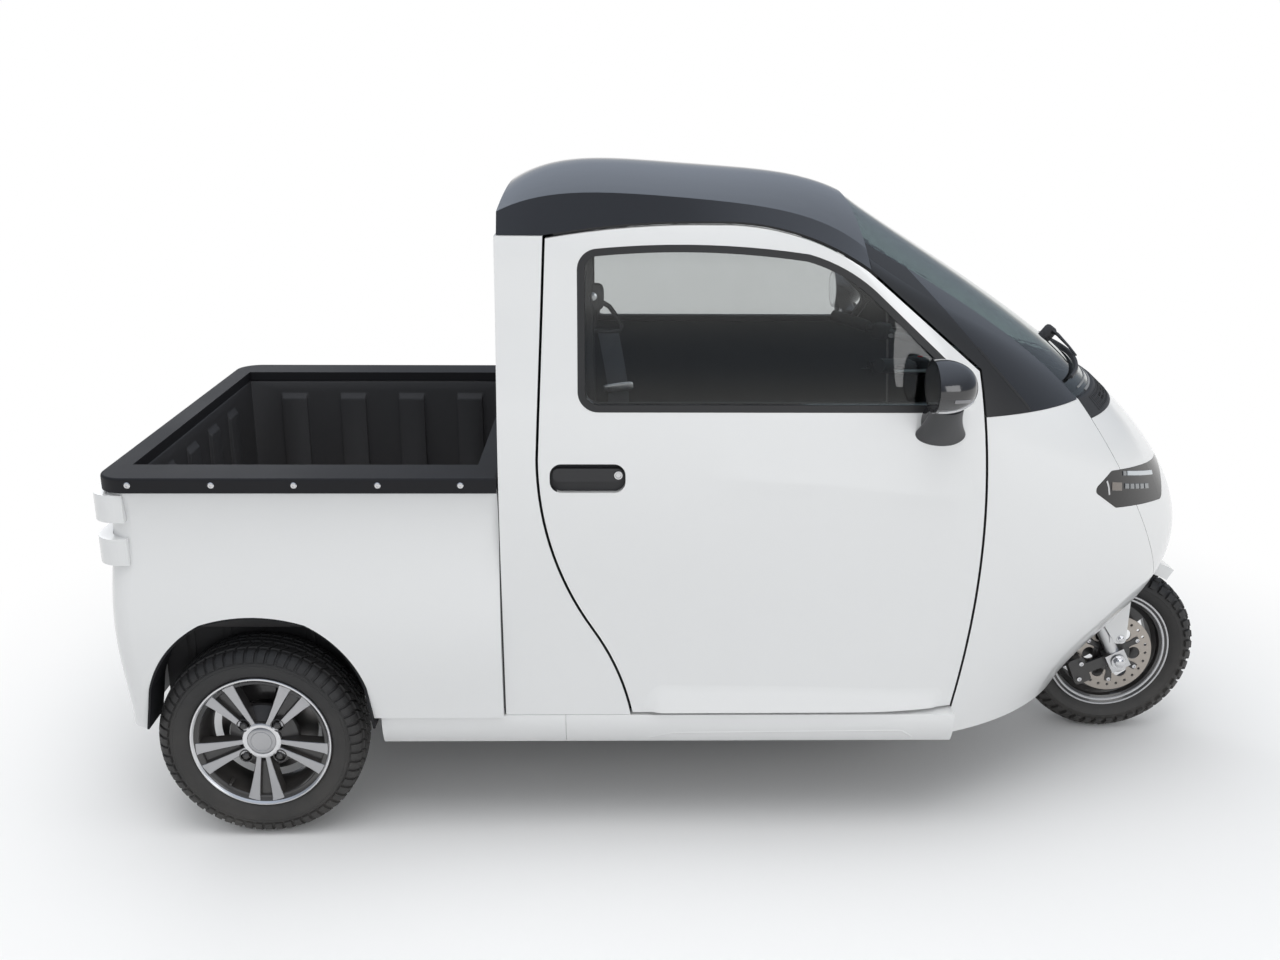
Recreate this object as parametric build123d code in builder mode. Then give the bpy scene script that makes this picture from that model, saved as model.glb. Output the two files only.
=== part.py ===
"""Three-wheeled electric cabin scooter with a load bed, as an assembly of its panels, frame and wheels."""
from build123d import *
import os
from math import atan2, cos, radians, sin, sqrt

os.makedirs("parts", exist_ok=True)

# Overall sizes in millimetres; the origin is on the ground under the middle of the vehicle
WHEELBASE = 2220
REAR_OVERHANG = 337
BODY_WIDTH = 1176
TRACK_IN = 166
REAR_TRACK = BODY_WIDTH - TRACK_IN

# The cab's places and nose arcs are drawn at this wheelbase and width, and stretch with the real ones
DRAWN_WHEELBASE = 2220
DRAWN_WIDTH = 1176

# Rear wheels
REAR_TYRE_R = 247
REAR_TYRE_WIDTH = 135
REAR_RIM_R = 168
REAR_BORE_R = 20

# Front wheel
FRONT_TYRE_R = 243
FRONT_TYRE_WIDTH = 108
FRONT_RIM_R = 170
FRONT_BORE_R = 9

# Walls and clearances
WALL = 32
GLASS = 6
GLASS_DEPTH = 7
SEAM = 0.8
DOOR_GAP = 6
RUNNING_CLEARANCE = 0.06
FIT = 0.5

# How far the outlines that cut the panels reach past the vehicle
CUT_TOP = 1700
CUT_PAST = 50

LENGTH = FRONT_TYRE_R + WHEELBASE + REAR_OVERHANG
FRONT_AXLE_X = LENGTH / 2 - FRONT_TYRE_R
REAR_AXLE_X = FRONT_AXLE_X - WHEELBASE
HALF = BODY_WIDTH / 2


def front(x):
    """A place along the cab that is drawn back from the front axle, stretched with the wheelbase."""
    return FRONT_AXLE_X - x * WHEELBASE / DRAWN_WHEELBASE


def rear(x):
    """A place along the vehicle that is measured forward from the rear axle."""
    return REAR_AXLE_X + x


# Cab skin: the body's outline seen from above, at each height
CAB_BACK_X = front(1635)
SKIN_SECTIONS = (
    # height, tuck in from the widest, nose behind the front axle, bend behind it, nose radius
    (240, 39, 140, 800, 290),
    (420, 24, -15, 780, 330),
    (620, 10, -113, 740, 370),
    (820, 0, -52, 710, 420),
    (1045, 10, 155, 700, 620),
    (1260, 38, 445, 757, 780),
    (1500, 70, 820, 1074, 850),
)
SKIN_TOP = SKIN_SECTIONS[-1][0]


def skin_outline(tuck, nose, bend, nose_radius, inset):
    """Draw the skin's outline at one height: flat back, straight sides, and a nose of tangent arcs."""
    half = HALF - tuck
    tip = front(nose)
    start = front(bend)
    back = CAB_BACK_X + inset
    run = tip - start - nose_radius
    side_radius = (run ** 2 + half ** 2 - nose_radius ** 2) / (2 * (half - nose_radius))
    way = 1 if side_radius > nose_radius else -1
    turn = atan2(way * (side_radius - half), way * run)
    middle = (turn + radians(90)) / 2
    side_r = side_radius - inset
    nose_r = nose_radius - inset
    edge = half - inset
    side_y = half - side_radius
    join = (start + side_r * cos(turn), side_y + side_r * sin(turn))
    bulge = (start + side_r * cos(middle), side_y + side_r * sin(middle))
    Line((back, edge), (back, -edge))
    Line((back, -edge), (start, -edge))
    ThreePointArc((start, -edge), (bulge[0], -bulge[1]), (join[0], -join[1]))
    ThreePointArc((join[0], -join[1]), (tip - nose_radius + nose_r, 0), join)
    ThreePointArc(join, bulge, (start, edge))
    Line((start, edge), (back, edge))


def skin_solid(inset):
    """The whole cab skin as one solid, set in by a given amount."""
    with BuildPart() as solid:
        for height, tuck, nose, bend, nose_radius in SKIN_SECTIONS:
            with BuildSketch(Plane.XY.offset(height)):
                with BuildLine():
                    skin_outline(tuck, nose, bend, nose_radius * BODY_WIDTH / DRAWN_WIDTH, inset)
                make_face()
        loft()
    return solid.part


skin_outer = skin_solid(0)
skin_cavity = skin_solid(WALL)
skin_lining = skin_solid(WALL + FIT)
skin_glass_out = skin_solid(GLASS_DEPTH)
skin_glass_in = skin_solid(GLASS_DEPTH + GLASS)

with BuildPart() as skin_wall:
    add(skin_outer)
    add(skin_cavity, mode=Mode.SUBTRACT)

with BuildPart() as skin_pane:
    add(skin_glass_out)
    add(skin_glass_in, mode=Mode.SUBTRACT)

# Roof skin: sections across the vehicle
ROOF_REAR = 1631
ROOF_SECTIONS = (
    # place behind the front axle, tuck in at the foot, tuck in at the fold, fold height, crown
    (ROOF_REAR, 36, 88, 1486, 1522),
    (1575, 36, 88, 1508, 1546),
    (1220, 36, 88, 1516, 1557),
    (1000, 3, 98, 1486, 1541),
    (825, 28, 118, 1405, 1500),
)
ROOF_WALL = 24


def roof_solid(inset):
    """The roof moulding as one solid, set in by a given amount."""
    with BuildPart() as solid:
        for place, foot_tuck, fold_tuck, fold_height, crown in ROOF_SECTIONS:
            rear_wall = inset if place == ROOF_REAR else 0
            foot = HALF - foot_tuck
            fold = HALF - fold_tuck
            with BuildSketch(Plane.YZ.offset(front(place) + rear_wall)):
                with BuildLine():
                    Line((-foot + inset, ROOF_FOOT), (foot - inset, ROOF_FOOT))
                    Line((foot - inset, ROOF_FOOT), (fold - inset, fold_height - inset))
                    ThreePointArc((fold - inset, fold_height - inset), (0, crown - inset),
                                  (-fold + inset, fold_height - inset))
                    Line((-fold + inset, fold_height - inset), (-foot + inset, ROOF_FOOT))
                make_face()
        loft()
    return solid.part


# Door opening seen from the side; the door is this outline less the gap all round
DOOR_FOOT = 318
DOOR_REAR_TOP = (front(1531), 1438)
DOOR_REAR_BELT = (front(1552), 955)
DOOR_REAR_SWEEP = (front(1430), 543)
DOOR_REAR_FOOT = (front(1340), DOOR_FOOT)
DOOR_FRONT_FOOT = (front(566), DOOR_FOOT)
DOOR_FRONT_MID = (front(537), 800)
DOOR_FRONT_TOP = (front(567), 1150)
DOOR_PILLAR = (front(825), 1368)
ROOF_FOOT = DOOR_PILLAR[1] - 8
ROOF_EDGE_FRONT = (front(965), 1438)
ROOF_EDGE_TOP = (front(1160), 1467)
ROOF_EDGE_MID = (front(1350), 1461)


def roof_edge():
    """Draw the roof's lower edge, from the front of the roof to the door's rear top corner."""
    ThreePointArc(DOOR_PILLAR, ROOF_EDGE_FRONT, ROOF_EDGE_TOP)
    ThreePointArc(ROOF_EDGE_TOP, ROOF_EDGE_MID, DOOR_REAR_TOP)


def door_outline():
    """Draw the door opening, counter to the clock from the rear top corner."""
    Line(DOOR_REAR_TOP, DOOR_REAR_BELT)
    sweep_in = TangentArc(DOOR_REAR_BELT, DOOR_REAR_SWEEP, tangent=(0, -1))
    TangentArc(DOOR_REAR_SWEEP, DOOR_REAR_FOOT, tangent=sweep_in % 1)
    Line(DOOR_REAR_FOOT, DOOR_FRONT_FOOT)
    ThreePointArc(DOOR_FRONT_FOOT, DOOR_FRONT_MID, DOOR_FRONT_TOP)
    Line(DOOR_FRONT_TOP, DOOR_PILLAR)
    roof_edge()


# Side window opening in the door
WINDOW_FOOT = 1062
WINDOW_CORNER_R = 45
WINDOW_REAR = front(1458)
WINDOW_TOP_REAR = 1408
WINDOW_TOP_MID = (front(1190), 1421)
WINDOW_TOP_FRONT = (front(960), 1402)
WINDOW_TURN = (front(880), 1370)
WINDOW_SLOPE = (front(800), 1312)
WINDOW_NOSE = (front(610), 1138)
WINDOW_FRONT_FOOT = front(655)
SEAL = 16


def window_outline():
    """Draw the side window opening, counter to the clock from the rear top corner."""
    Line((WINDOW_REAR, WINDOW_TOP_REAR), (WINDOW_REAR, WINDOW_FOOT))
    Line((WINDOW_REAR, WINDOW_FOOT), (WINDOW_FRONT_FOOT, WINDOW_FOOT))
    Line((WINDOW_FRONT_FOOT, WINDOW_FOOT), WINDOW_NOSE)
    Line(WINDOW_NOSE, WINDOW_SLOPE)
    ThreePointArc(WINDOW_SLOPE, WINDOW_TURN, WINDOW_TOP_FRONT)
    ThreePointArc(WINDOW_TOP_FRONT, WINDOW_TOP_MID, (WINDOW_REAR, WINDOW_TOP_REAR))


def window_face(inset):
    """The side window opening as a face, set in by a given amount."""
    with BuildSketch() as face:
        with BuildLine():
            window_outline()
        make_face()
        sharp = face.vertices().sort_by(Axis.X)
        fillet([sharp[0], sharp[1]], WINDOW_CORNER_R)
        fillet(face.vertices().sort_by(Axis.X)[-1:], WINDOW_CORNER_R)
        if inset:
            offset(amount=-inset, kind=Kind.INTERSECTION)
    return face.sketch


# Seams between the fixed panels, seen from the side
BELT = 1047
NOSE_SEAM_TOP = (front(290), BELT)
NOSE_SEAM_MID = (front(103), 768)
NOSE_SEAM_FOOT = (front(-42), 480)
COWL_FOOT = 1000
LAMP_CORNER_R = 12
LAMP_TIP = (front(257), 843)
LAMP_TOP_REAR = (front(197), 876)
LAMP_TOP_FRONT = (front(-22), 842)
LAMP_FOOT_FRONT = (front(0), 756)
LAMP_FOOT_REAR = (front(180), 786)
LAMP_IN = 120
NOSE_AHEAD_X = front(-400)
PANEL_REAR_X = front(600)

# Space that the steered front wheel needs under the nose
WELL_HALF = 220
WELL_TOP = 545
WELL_BACK_X = front(400)
WELL_LENGTH = 800


def lamp_face(inset):
    """The headlamp's outline seen from the side, set in by a given amount."""
    with BuildSketch() as face:
        with BuildLine():
            FilletPolyline(LAMP_TIP, LAMP_TOP_REAR, LAMP_TOP_FRONT, LAMP_FOOT_FRONT, LAMP_FOOT_REAR,
                           radius=LAMP_CORNER_R, close=True)
        make_face()
        if inset:
            offset(amount=-inset)
    return face.sketch


# Back of the cab: rear wall, both door pillars and both quarter panels in one moulding
REAR_WINDOW_HALF = HALF - 188
REAR_WINDOW_FOOT = 1085
REAR_WINDOW_TOP = 1385
REAR_WINDOW_R = 40
QUARTER_FRONT_X = front(1300)

with BuildPart() as cab_back:
    add(skin_wall.part)
    with BuildSketch(Plane.XZ):
        with BuildLine():
            Polyline((CAB_BACK_X - CUT_PAST, CUT_TOP), (CAB_BACK_X - CUT_PAST, DOOR_FOOT),
                     (QUARTER_FRONT_X, DOOR_FOOT), (QUARTER_FRONT_X, CUT_TOP), close=True)
        make_face()
    extrude(amount=BODY_WIDTH, both=True, mode=Mode.INTERSECT)
    with BuildSketch(Plane.XZ):
        with BuildLine():
            door_outline()
        make_face()
    extrude(amount=BODY_WIDTH, both=True, mode=Mode.SUBTRACT)
    with BuildSketch(Plane.XZ):
        with BuildLine():
            roof_edge()
            Polyline(DOOR_REAR_TOP, (CAB_BACK_X - CUT_PAST, DOOR_REAR_TOP[1]),
                     (CAB_BACK_X - CUT_PAST, CUT_TOP), (DOOR_PILLAR[0], CUT_TOP), DOOR_PILLAR)
        make_face()
    extrude(amount=BODY_WIDTH, both=True, mode=Mode.SUBTRACT)
    with BuildSketch(Plane.YZ.offset(CAB_BACK_X)):
        with Locations((0, (REAR_WINDOW_FOOT + REAR_WINDOW_TOP) / 2)):
            RectangleRounded(2 * REAR_WINDOW_HALF, REAR_WINDOW_TOP - REAR_WINDOW_FOOT, REAR_WINDOW_R)
    extrude(amount=WALL * 3, both=True, mode=Mode.SUBTRACT)
cab_back.part.label = "cab_back"
export_step(cab_back.part, "parts/cab_back.step")

with BuildPart() as rear_window:
    with BuildSketch(Plane.YZ.offset(CAB_BACK_X + GLASS_DEPTH)):
        with Locations((0, (REAR_WINDOW_FOOT + REAR_WINDOW_TOP) / 2)):
            RectangleRounded(2 * (REAR_WINDOW_HALF - FIT), REAR_WINDOW_TOP - REAR_WINDOW_FOOT - 2 * FIT,
                             REAR_WINDOW_R - FIT)
    extrude(amount=GLASS)
rear_window.part.label = "rear_window"
export_step(rear_window.part, "parts/rear_window.step")

# Roof moulding
roof_outer = roof_solid(0)
roof_inner = roof_solid(ROOF_WALL)

with BuildPart() as roof:
    add(roof_outer)
    add(roof_inner, mode=Mode.SUBTRACT)
    with BuildSketch(Plane.XZ):
        with BuildLine():
            roof_edge()
            Polyline(DOOR_REAR_TOP, (CAB_BACK_X - CUT_PAST, DOOR_REAR_TOP[1]),
                     (CAB_BACK_X - CUT_PAST, CUT_TOP), (DOOR_PILLAR[0], CUT_TOP), DOOR_PILLAR)
        make_face()
        offset(amount=-SEAM)
    extrude(amount=BODY_WIDTH, both=True, mode=Mode.INTERSECT)
roof.part.label = "roof"
export_step(roof.part, "parts/roof.step")

# Openings that the headlamps sit in, one each side of the nose
with BuildPart() as lamp_opening:
    with BuildSketch(Plane.XZ.offset(LAMP_IN)):
        add(lamp_face(0))
    extrude(amount=BODY_WIDTH)
    mirror(about=Plane.XZ)

# Front side panels between the doors and the nose, with the headlamp openings
with BuildPart() as side_panel_right:
    add(skin_wall.part)
    with BuildSketch(Plane.XZ):
        with BuildLine():
            Polyline((PANEL_REAR_X, BELT), (PANEL_REAR_X, 0), (NOSE_SEAM_FOOT[0], 0), NOSE_SEAM_FOOT)
            ThreePointArc(NOSE_SEAM_FOOT, NOSE_SEAM_MID, NOSE_SEAM_TOP)
            Line(NOSE_SEAM_TOP, (PANEL_REAR_X, BELT))
        make_face()
    extrude(amount=BODY_WIDTH, mode=Mode.INTERSECT)
    with BuildSketch(Plane.XZ):
        with BuildLine():
            door_outline()
        make_face()
        with Locations((DOOR_FRONT_FOOT[0] - WALL * 2, DOOR_FOOT / 2)):
            Rectangle(WALL * 4, DOOR_FOOT)
    extrude(amount=BODY_WIDTH, mode=Mode.SUBTRACT)
    add(lamp_opening.part, mode=Mode.SUBTRACT)
    with BuildSketch(Plane.XY):
        with Locations((WELL_BACK_X + WELL_LENGTH / 2, 0)):
            Rectangle(WELL_LENGTH, 2 * WELL_HALF)
    extrude(amount=WELL_TOP, mode=Mode.SUBTRACT)
side_panel_right.part.label = "side_panel_right"
export_step(side_panel_right.part, "parts/side_panel_right.step")

with BuildPart() as side_panel_left:
    mirror(side_panel_right.part, about=Plane.XZ)
side_panel_left.part.label = "side_panel_left"
export_step(side_panel_left.part, "parts/side_panel_left.step")

# Nose panel between the two seams, cut away below for the wheel
with BuildPart() as nose_panel:
    add(skin_wall.part)
    with BuildSketch(Plane.XZ):
        with BuildLine():
            ThreePointArc(NOSE_SEAM_TOP, NOSE_SEAM_MID, NOSE_SEAM_FOOT)
            Polyline(NOSE_SEAM_FOOT, (NOSE_SEAM_FOOT[0], 0), (NOSE_AHEAD_X, 0),
                     (NOSE_AHEAD_X, BELT), NOSE_SEAM_TOP)
        make_face()
        offset(amount=-SEAM)
    extrude(amount=BODY_WIDTH, both=True, mode=Mode.INTERSECT)
    with BuildSketch(Plane.XY.offset(COWL_FOOT)):
        with Locations((front(0), 0)):
            Rectangle(BODY_WIDTH, BODY_WIDTH)
    extrude(amount=WALL * 3, mode=Mode.SUBTRACT)
    add(lamp_opening.part, mode=Mode.SUBTRACT)
    with BuildSketch(Plane.XY):
        with Locations((WELL_BACK_X + WELL_LENGTH / 2, 0)):
            Rectangle(WELL_LENGTH, 2 * WELL_HALF)
    extrude(amount=WELL_TOP, mode=Mode.SUBTRACT)
nose_panel.part.label = "nose_panel"
export_step(nose_panel.part, "parts/nose_panel.step")

# Headlamps fill their openings flush with the skin
with BuildPart() as lamp_room:
    with BuildSketch(Plane.XZ.offset(LAMP_IN + FIT)):
        add(lamp_face(FIT))
    extrude(amount=BODY_WIDTH)
    mirror(about=Plane.XZ)

with BuildPart() as headlamps:
    add(skin_wall.part)
    add(lamp_room.part, mode=Mode.INTERSECT)
headlamps.part.label = "headlamps"
export_step(headlamps.part, "parts/headlamps.step")

# Air grille across the foot of the windscreen
GRILLE_SLOTS = 9
GRILLE_PITCH = 62
GRILLE_SLOT = 40
GRILLE_SLOT_HEIGHT = 12
GRILLE_BACK_X = front(300)

with BuildPart() as cowl_grille:
    add(skin_wall.part)
    with BuildSketch(Plane.XZ):
        with BuildLine():
            ThreePointArc(NOSE_SEAM_TOP, NOSE_SEAM_MID, NOSE_SEAM_FOOT)
            Polyline(NOSE_SEAM_FOOT, (NOSE_SEAM_FOOT[0], 0), (NOSE_AHEAD_X, 0),
                     (NOSE_AHEAD_X, BELT), NOSE_SEAM_TOP)
        make_face()
        offset(amount=-SEAM)
    extrude(amount=BODY_WIDTH, both=True, mode=Mode.INTERSECT)
    with BuildSketch(Plane.XY.offset(COWL_FOOT + SEAM)):
        with Locations((front(0), 0)):
            Rectangle(BODY_WIDTH, BODY_WIDTH)
    extrude(amount=WALL * 3, mode=Mode.INTERSECT)
    with BuildSketch(Plane.YZ.offset(GRILLE_BACK_X)):
        with Locations((0, (COWL_FOOT + BELT) / 2)):
            with GridLocations(GRILLE_PITCH, 0, GRILLE_SLOTS, 1):
                SlotOverall(GRILLE_SLOT, GRILLE_SLOT_HEIGHT)
    extrude(amount=NOSE_AHEAD_X - GRILLE_BACK_X, mode=Mode.SUBTRACT)
cowl_grille.part.label = "cowl_grille"
export_step(cowl_grille.part, "parts/cowl_grille.step")

# Windscreen, bounded seen from above by the two pillars
SCREEN_TOP_HALF = HALF - 158
SCREEN_FOOT_HALF = HALF - 216
SCREEN_TOP_X = DOOR_PILLAR[0]
SCREEN_FOOT_X = front(100)


def screen_face(inset):
    """The windscreen's outline seen from above, set in by a given amount."""
    with BuildSketch() as face:
        with BuildLine():
            Polyline((SCREEN_TOP_X, SCREEN_TOP_HALF), (SCREEN_TOP_X, -SCREEN_TOP_HALF),
                     (SCREEN_FOOT_X, -SCREEN_FOOT_HALF), (SCREEN_FOOT_X, SCREEN_FOOT_HALF), close=True)
        make_face()
        if inset:
            offset(amount=-inset)
    return face.sketch


with BuildPart() as windscreen:
    add(skin_pane.part)
    with BuildSketch(Plane.XY.offset(BELT)):
        add(screen_face(SEAM))
    extrude(amount=SKIN_TOP - BELT, mode=Mode.INTERSECT)
windscreen.part.label = "windscreen"
export_step(windscreen.part, "parts/windscreen.step")

# Windscreen pillars, each in one piece with the small panel ahead of the door
with BuildPart() as pillar_right:
    add(skin_wall.part)
    with BuildSketch(Plane.XZ):
        with BuildLine():
            Polyline((DOOR_PILLAR[0] + SEAM, CUT_TOP), (DOOR_PILLAR[0] + SEAM, BELT + SEAM),
                     (NOSE_AHEAD_X, BELT + SEAM), (NOSE_AHEAD_X, CUT_TOP), close=True)
        make_face()
    extrude(amount=BODY_WIDTH, mode=Mode.INTERSECT)
    with BuildSketch(Plane.XZ):
        with BuildLine():
            door_outline()
        make_face()
    extrude(amount=BODY_WIDTH, mode=Mode.SUBTRACT)
    with BuildSketch(Plane.XY.offset(BELT)):
        add(screen_face(0))
    extrude(amount=SKIN_TOP, mode=Mode.SUBTRACT)
pillar_right.part.label = "pillar_right"
export_step(pillar_right.part, "parts/pillar_right.step")

with BuildPart() as pillar_left:
    mirror(pillar_right.part, about=Plane.XZ)
pillar_left.part.label = "pillar_left"
export_step(pillar_left.part, "parts/pillar_left.step")

# Sills under the doors and ahead of the rear wheels, two lengths a side
SILL_FOOT = 236
SILL_REAR = rear(290)
SILL_SPLIT = front(1494)
SILL_FRONT = DOOR_FRONT_FOOT[0]
SILL_OUT = HALF - 28
SILL_UNDER = HALF - 52
SILL_BULGE = HALF - 30
SILL_BULGE_Z = 284
SILL_TOP = DOOR_FOOT - SEAM
SILL_DEPTH = 62

with BuildPart() as sill_right:
    with BuildSketch(Plane.YZ.offset(SILL_REAR)):
        with BuildLine():
            ThreePointArc((-SILL_OUT, SILL_TOP), (-SILL_BULGE, SILL_BULGE_Z), (-SILL_UNDER, SILL_FOOT))
            Polyline((-SILL_UNDER, SILL_FOOT), (-SILL_OUT + SILL_DEPTH, SILL_FOOT),
                     (-SILL_OUT + SILL_DEPTH, SILL_TOP), (-SILL_OUT, SILL_TOP))
        make_face()
    extrude(amount=SILL_FRONT - SEAM - SILL_REAR)
    with BuildSketch(Plane.YZ.offset(SILL_SPLIT)):
        with Locations((-SILL_OUT, DOOR_FOOT)):
            Rectangle(4 * SILL_DEPTH, 4 * SILL_DEPTH)
    extrude(amount=SEAM, mode=Mode.SUBTRACT)
    add(skin_cavity, mode=Mode.SUBTRACT)
sill_right.part.label = "sill_right"
export_step(sill_right.part, "parts/sill_right.step")

with BuildPart() as sill_left:
    mirror(sill_right.part, about=Plane.XZ)
sill_left.part.label = "sill_left"
export_step(sill_left.part, "parts/sill_left.step")

# Load bed: outer side panels with their wheel arches, and the rear panel between them
BED_GAP = 4
BED_FRONT_X = CAB_BACK_X - BED_GAP
BED_TOP = 888
BED_WALL = 24
BED_CORNER_R = 60
BED_SPLIT = HALF - 118
BED_TOP_TUCK = 6
BED_TOP_TAIL = 35
TAIL_LEG = rear(276)
BED_SECTIONS = (
    # height, tuck in from the widest, rear end ahead of the tail
    (292, 16, 31),
    (430, 4, 24),
    (575, 1, 19),
    (655, 9, 23),
    (BED_TOP, BED_TOP_TUCK, BED_TOP_TAIL),
)
ARCH_FOOT = 250
ARCH_HALF = 274
ARCH_LEG = 400
ARCH_LEG_HALF = 252
ARCH_SHOULDER = 120
ARCH_SHOULDER_Z = 562
ARCH_HAUNCH = 189
ARCH_HAUNCH_Z = 510
ARCH_TOP = 581
ARCH_CENTRE = 12


def bed_outline(tuck, tail, inset):
    """Draw the bed's outline at one height, with rounded rear corners."""
    edge = HALF - tuck - inset
    back = rear(tail - REAR_OVERHANG) + inset
    ahead = BED_FRONT_X
    turn_r = BED_CORNER_R - inset
    knee = turn_r * (1 - sqrt(0.5))
    Line((ahead, edge), (back + turn_r, edge))
    ThreePointArc((back + turn_r, edge), (back + knee, edge - knee), (back, edge - turn_r))
    Line((back, edge - turn_r), (back, -edge + turn_r))
    ThreePointArc((back, -edge + turn_r), (back + knee, -edge + knee), (back + turn_r, -edge))
    Line((back + turn_r, -edge), (ahead, -edge))
    Line((ahead, -edge), (ahead, edge))


def bed_solid(inset):
    """The bed's outer form as one solid, set in by a given amount."""
    with BuildPart() as solid:
        for height, tuck, tail in BED_SECTIONS:
            with BuildSketch(Plane.XY.offset(height)):
                with BuildLine():
                    bed_outline(tuck, tail, inset)
                make_face()
        loft()
    return solid.part


def arch_outline(inset):
    """The wheel arch opening as a face, set in by a given amount."""
    with BuildSketch() as face:
        middle = rear(ARCH_CENTRE)
        with BuildLine():
            Line((middle - ARCH_HALF, ARCH_FOOT), (middle - ARCH_LEG_HALF, ARCH_LEG))
            for way in (-1, 1):
                ThreePointArc((middle + way * ARCH_LEG_HALF, ARCH_LEG),
                              (middle + way * ARCH_HAUNCH, ARCH_HAUNCH_Z),
                              (middle + way * ARCH_SHOULDER, ARCH_SHOULDER_Z))
            ThreePointArc((middle - ARCH_SHOULDER, ARCH_SHOULDER_Z), (middle, ARCH_TOP),
                          (middle + ARCH_SHOULDER, ARCH_SHOULDER_Z))
            Polyline((middle + ARCH_LEG_HALF, ARCH_LEG), (middle + ARCH_HALF, ARCH_FOOT),
                     (middle - ARCH_HALF, ARCH_FOOT))
        make_face()
        if inset:
            offset(amount=-inset, kind=Kind.INTERSECTION)
    return face.sketch


bed_outer = bed_solid(0)
bed_inner = bed_solid(BED_WALL)

with BuildPart() as bed_side_right:
    add(bed_outer)
    add(bed_inner, mode=Mode.SUBTRACT)
    with BuildSketch(Plane.XY):
        with Locations((REAR_AXLE_X, -BED_SPLIT - SEAM - BODY_WIDTH / 2)):
            Rectangle(LENGTH, BODY_WIDTH)
    extrude(amount=BED_TOP, mode=Mode.INTERSECT)
    with BuildSketch(Plane.XZ):
        add(arch_outline(0))
        with Locations(((TAIL_LEG + BED_FRONT_X) / 2, DOOR_FOOT / 2)):
            Rectangle(BED_FRONT_X - TAIL_LEG, DOOR_FOOT)
    extrude(amount=BODY_WIDTH, mode=Mode.SUBTRACT)
bed_side_right.part.label = "bed_side_right"
export_step(bed_side_right.part, "parts/bed_side_right.step")

with BuildPart() as bed_side_left:
    mirror(bed_side_right.part, about=Plane.XZ)
bed_side_left.part.label = "bed_side_left"
export_step(bed_side_left.part, "parts/bed_side_left.step")

with BuildPart() as bed_rear:
    add(bed_outer)
    add(bed_inner, mode=Mode.SUBTRACT)
    with BuildSketch(Plane.XY):
        with Locations((rear(BED_TOP_TAIL - REAR_OVERHANG), 0)):
            Rectangle(2 * BED_CORNER_R, 2 * BED_SPLIT)
    extrude(amount=BED_TOP, mode=Mode.INTERSECT)
bed_rear.part.label = "bed_rear"
export_step(bed_rear.part, "parts/bed_rear.step")

# Ribbed tub that lines the bed
TUB_FLOOR = 512
TUB_WALL = 6
TUB_REAR = rear(75 - REAR_OVERHANG)
TUB_FRONT = BED_FRONT_X - 45
TUB_HALF = HALF - 102
RIB_PITCH = 176
RIB_WIDTH = 76
RIB_PROUD = 11
RIB_TOP = 850
RIB_SLOPE = 14
RIB_COUNT = 4
TUB_LENGTH = TUB_FRONT - TUB_REAR
TUB_MIDDLE = (TUB_FRONT + TUB_REAR) / 2

with BuildPart() as bed_tub:
    with BuildSketch(Plane.XY.offset(TUB_FLOOR)):
        with Locations((TUB_MIDDLE, 0)):
            Rectangle(TUB_LENGTH, 2 * TUB_HALF)
    extrude(amount=BED_TOP - TUB_FLOOR)
    with BuildSketch(Plane.XY.offset(TUB_FLOOR + TUB_WALL)):
        with Locations((TUB_MIDDLE, 0)):
            Rectangle(TUB_LENGTH - 2 * TUB_WALL, 2 * (TUB_HALF - TUB_WALL))
    extrude(amount=BED_TOP - TUB_FLOOR, mode=Mode.SUBTRACT)
    for index in range(RIB_COUNT):
        step = (index - (RIB_COUNT - 1) / 2) * RIB_PITCH
        for side in (-1, 1):
            wall_y = side * (TUB_HALF - TUB_WALL)
            wall_x = TUB_MIDDLE + side * (TUB_LENGTH / 2 - TUB_WALL)
            face_y = wall_y - side * RIB_PROUD
            face_x = wall_x - side * RIB_PROUD
            with BuildSketch(Plane.YZ.offset(TUB_MIDDLE + step - RIB_WIDTH / 2)):
                with BuildLine():
                    Polyline((wall_y, TUB_FLOOR), (wall_y, RIB_TOP), (face_y, RIB_TOP - RIB_SLOPE),
                             (face_y, TUB_FLOOR), close=True)
                make_face()
            extrude(amount=RIB_WIDTH)
            with BuildSketch(Plane.XZ.offset(step - RIB_WIDTH / 2)):
                with BuildLine():
                    Polyline((wall_x, TUB_FLOOR), (wall_x, RIB_TOP), (face_x, RIB_TOP - RIB_SLOPE),
                             (face_x, TUB_FLOOR), close=True)
                make_face()
            extrude(amount=RIB_WIDTH)
bed_tub.part.label = "bed_tub"
export_step(bed_tub.part, "parts/bed_tub.step")

# Rim moulding that covers the joint between the tub and the panels
RIM_TOP = 914
RIM_SKIRT = 880
RIM_PROUD = 7
RIM_ROOM = 3
RIM_EDGE_R = 6

with BuildPart() as bed_rim:
    with BuildSketch(Plane.XY.offset(RIM_SKIRT)):
        with BuildLine():
            bed_outline(BED_TOP_TUCK, BED_TOP_TAIL, -RIM_PROUD)
        make_face()
    extrude(amount=RIM_TOP - RIM_SKIRT)
    fillet(bed_rim.faces().sort_by(Axis.Z)[-1].edges(), RIM_EDGE_R)
    with BuildSketch(Plane.XY.offset(RIM_SKIRT)):
        with Locations((TUB_MIDDLE, 0)):
            Rectangle(TUB_LENGTH - 2 * TUB_WALL, 2 * (TUB_HALF - TUB_WALL))
    extrude(amount=RIM_TOP, mode=Mode.SUBTRACT)
    with BuildSketch(Plane.XY.offset(RIM_SKIRT)):
        with BuildLine():
            bed_outline(BED_TOP_TUCK, BED_TOP_TAIL, -RIM_ROOM)
        make_face()
    extrude(amount=BED_TOP + FIT - RIM_SKIRT, mode=Mode.SUBTRACT)
bed_rim.part.label = "bed_rim"
export_step(bed_rim.part, "parts/bed_rim.step")

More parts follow.
